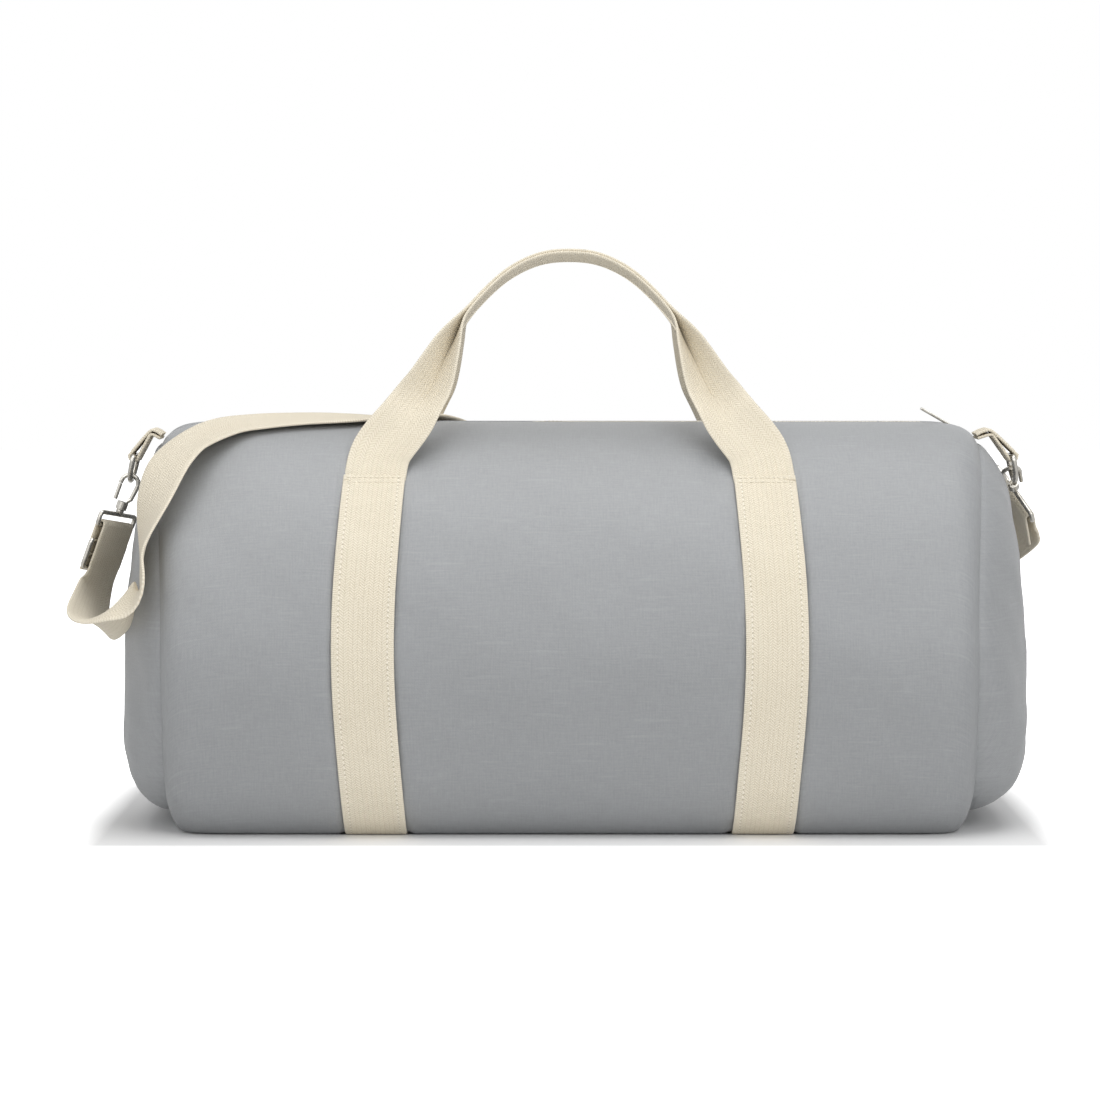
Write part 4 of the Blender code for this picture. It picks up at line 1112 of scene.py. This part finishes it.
def make_strap():
    """The whole shoulder strap in one piece, in the drape of its solids."""
    found = doubled_end(-1)
    bar = loop_bar(-1)
    for out, forward, down, facing in hanging_shares:
        found.append((bar + Vector((-out, -forward, -down)) * loop_hang, Vector(facing).normalized()))
    found.extend((Vector(place), Vector(facing).normalized()) for place, facing in shoulder_places)
    for along_share, turn, lift, endwise in draped_shares:
        x = along_share * half_length
        angle = radians(turn)
        facing = Vector((copysign(endwise, x), -sin(angle), cos(angle)))
        found.append((barrel_point(x, angle, lift * webbing_width), facing.normalized()))
    found.extend(reversed(doubled_end(1)))
    steps = 7
    route = smooth_route([place for place, facing in found], steps)
    turned = smooth_route([facing for place, facing in found], steps)
    across = [t.cross(n).normalized() for t, n in zip(tangents(route), turned)]
    nodes = ("strap_adjuster_end", "strap_loop", "strap_top", "strap_rear", "strap_right_end")
    band("shoulder_strap", route, across, webbing, "bag", nodes)


def bar_along(name, route, radius, material, body, replaced=(), closed=False, sides=14):
    """A round wire along a smooth route, closed in a loop or with rounded ends."""
    ways = tangents(route, closed)
    side = ways[0].orthogonal().normalized()
    rings = []
    for place, way in zip(route, ways):
        side = (side - way * side.dot(way)).normalized()
        rings.append((place, way, side, radius))
    if not closed:
        rings = [(route[0] - ways[0] * radius * 0.7, ways[0], rings[0][2], radius * 0.55)] + rings
        rings.append((route[-1] + ways[-1] * radius * 0.7, ways[-1], rings[-1][2], radius * 0.55))
    points = []
    for place, way, side, size in rings:
        other = way.cross(side)
        for k in range(sides):
            angle = 2 * pi * k / sides
            points.append(place + (side * cos(angle) + other * sin(angle)) * size)
    faces = []
    total = len(rings)
    for i in range(total if closed else total - 1):
        shift = 0
        if closed and i == total - 1:
            # The carried side may come back turned, so the last ring meets the first's nearest corner
            last = points[i * sides]
            shift = min(range(sides), key=lambda k: (points[k] - last).length)
        for k in range(sides):
            a, b = i * sides + k, i * sides + (k + 1) % sides
            c = ((i + 1) % total) * sides + (k + 1 + shift) % sides
            d = ((i + 1) % total) * sides + (k + shift) % sides
            faces.append((a, b, c, d))
    if not closed:
        faces += [tuple(reversed(range(sides))), tuple(range((total - 1) * sides, total * sides))]
    add_piece(name, points, faces, material, body, replaced)


def rounded_loop(corners, radius, steps=6):
    """A closed route round the corners, each rounded by an arc."""
    route = []
    count = len(corners)
    for i, corner in enumerate(corners):
        back = (corners[i - 1] - corner).normalized() * radius
        ahead = (corners[(i + 1) % count] - corner).normalized() * radius
        for j in range(steps + 1):
            t = j / steps
            route.append(corner + back * (1 - t) ** 2 + ahead * t**2)
    return route


def make_ring(name, side, node):
    bar, across, down = ring_frame(side)
    route = [bar + across * ring_half_width * share for share in (-0.9, -0.5, 0.0, 0.5, 0.9)]
    for i in range(33):
        angle = pi * i / 32
        fall = ring_side + ring_half_width * sin(angle)
        route.append(bar + across * ring_half_width * cos(angle) + down * fall)
    bar_along(name, route, ring_wire / 2, nickel, node, (node,), closed=True)


def make_loop(name, side, node):
    """The swivel's wire loop and its neck."""
    eye, axis = hook_frame(side)
    end = eye_radius + hook_wire + shank_length
    wide = loop_way(side)
    high = eye + axis * (end + clearance + neck_length + loop_wire / 2)
    low = high + axis * (loop_height + loop_wire)
    out = wide * loop_half_width
    route = rounded_loop([high - out, high + out, low + out, low - out], loop_wire)
    bar_along(name, route, loop_wire / 2, nickel, "bag", (node,), closed=True)
    neck = [eye + axis * (end + clearance + neck_length * share) for share in (0.1, 0.5, 0.9)]
    bar_along(name.replace("loop", "neck"), neck, collar_radius * 0.72, nickel, "bag")


def make_slide():
    """The three-bar slide between the two layers of the strap's left end."""
    axis = hook_frame(-1)[1]
    middle = loop_bar(-1) + axis * sewn_length * slide_share
    wide = loop_way(-1) * loop_half_width
    half = axis * slide_height / 2
    corners = [middle + wide - half, middle + wide + half, middle - wide + half, middle - wide - half]
    route = rounded_loop(corners, slide_wire)
    bar_along("three_bar_slide", route, slide_wire / 2, nickel, "bag", ("strap_slide",), True)
    inner = wide * (1 - 0.25 * slide_wire / loop_half_width)
    route = [middle + inner * share for share in (-1, -0.5, 0, 0.5, 1)]
    bar_along("slide_middle_bar", route, slide_wire * 0.45, nickel, "bag")


stitch_rows = (0.0022, 0.0062)
row_stitches = 10
stitch_pitch = 0.0034
stitch_size = (0.0024, 0.0008, 0.0006)


def cross_stitches(name, side):
    """The row of stitches across both belts where the handle leaves them, and a second row below."""
    places, ways = [], []
    for sign in (-1, 1):
        for row in stitch_rows:
            angle = stitch_angle + row / half_depth
            middle = sign * (belt_x + belt_shift(angle))
            lift = canvas_lift(middle, angle) + 0.0009
            for k in range(row_stitches):
                x = middle + (k - (row_stitches - 1) / 2) * stitch_pitch
                places.append(barrel_point(x, angle if side > 0 else 2 * pi - angle, lift))
                ways.append(Vector((1, 0, 0)))
    shape = block_mesh("stitch", stitch_size, 0.0002)
    made = copies_on(name, places, ways, shape, thread)
    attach(made, "bag")


def dress(name, material):
    """Gives a shown node of the frame its material."""
    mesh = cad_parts[name].data
    mesh.materials.clear()
    mesh.materials.append(material)


# The studio


def aimed(made, place, aim):
    """Stands a camera or a lamp at a place, and turns it to what it looks at."""
    made.location = place
    made.rotation_euler = (Vector(aim) - Vector(place)).to_track_quat("-Z", "Y").to_euler()
    return made


def make_camera():
    data = bpy.data.cameras.new("camera")
    data.sensor_width = 36
    data.lens = 116.0
    made = in_scene("camera", data)
    bpy.context.scene.camera = aimed(made, (-0.012, -2.25, 0.320), (-0.012, 0, 0.1695))


def make_lamp(name, place, aim, size, watts):
    data = bpy.data.lights.new(name, "AREA")
    data.shape = "RECTANGLE"
    data.size, data.size_y = size
    data.energy = watts
    aimed(in_scene(name, data), place, aim)


def make_studio():
    make_lamp("top_softbox", (0, -0.3, 2.2), (0, 0, 0.1), (2.4, 1.8), 33)
    make_lamp("left_softbox", (-1.1, -2.2, 1.2), (0, 0, 0.12), (1.4, 1.6), 12.5)
    make_lamp("right_softbox", (1.3, -2.2, 1.2), (0, 0, 0.12), (1.4, 1.6), 19.5)
    world = bpy.data.worlds.new("studio")
    world.use_nodes = True
    # The room is brighter to the camera and in the metal than it lights the canvas
    seen = ("MAXIMUM", "path.Is Camera Ray", "path.Is Glossy Ray")
    finish = {"Color": (1, 1, 1, 1), "Strength": ("range", seen, 0.0, 1.0, 0.35, 1.0)}
    build(world.node_tree, {"path": ("light path",)}, "Background", finish)
    bpy.context.scene.world = world


# Matt white floor. Seen by the camera, it turns to plain white a little way from the bag
floor_rows = {
    **object_rows,
    "path": ("light path",),
    "x": ("MAXIMUM", ("SUBTRACT", ("ABSOLUTE", "spot.0"), 0.285), 0.0),
    "y": ("MAXIMUM", ("SUBTRACT", ("ABSOLUTE", "spot.1"), 0.130), 0.0),
    "away": ("SQRT", ("ADD", ("POWER", "x", 2.0), ("POWER", "y", 2.0))),
    "fade": ("range", "away", 0.0, 0.040, 0.0, 1.2),
    "glow": ("glow", (1, 1, 1, 1), ("MULTIPLY", "path.Is Camera Ray", "fade")),
    "both": ("both", ("matt", (0.90, 0.90, 0.90, 1)), "glow"),
}


def make_floor():
    mesh = bpy.data.meshes.new("floor")
    mesh.from_pydata([(-6, -6, 0), (6, -6, 0), (6, 6, 0), (-6, 6, 0)], [], [(0, 1, 2, 3)])
    floor = in_scene("floor", mesh)
    paint = bpy.data.materials.new("floor_paint")
    paint.use_nodes = True
    paint.node_tree.nodes.remove(paint.node_tree.nodes["Principled BSDF"])
    build(paint.node_tree, floor_rows, "Material Output", {"Surface": "both"})
    mesh.materials.append(paint)


make_camera()
make_studio()
make_floor()
make_barrel()
make_end_panel("right_end_panel", 1, bulge_right, "end_panel_right")
make_end_panel("left_end_panel", -1, bulge_left, "end_panel_left")
make_belt("left_belt", -1, "belt_left")
make_belt("right_belt", 1, "belt_right")
make_handle("front_carry_handle", 1, "handle_front")
make_handle("rear_carry_handle", -1, "handle_rear")
make_zip()
make_strap()
for word, side in (("left", -1), ("right", 1)):
    make_tab(word + "_ring_tab", side, "tab_" + word)
    make_ring("d_ring_" + word, side, "ring_" + word)
    make_loop("loop_" + word, side, "hook_loop_" + word)
make_slide()
cross_stitches("front_cross_stitches", 1)
cross_stitches("rear_cross_stitches", -1)
for node in ("hook_left", "hook_right", "gate_left", "gate_right", "zip_slider", "zip_puller"):
    dress(node, nickel)
for node in ("zip_stop_left", "zip_stop_right"):
    dress(node, zip_metal)
for word, side in (("left", -1), ("right", 1)):
    make_binding("seam_tape_" + word, side, "seam_binding_" + word)

bpy.context.scene.view_settings.view_transform = "Standard"
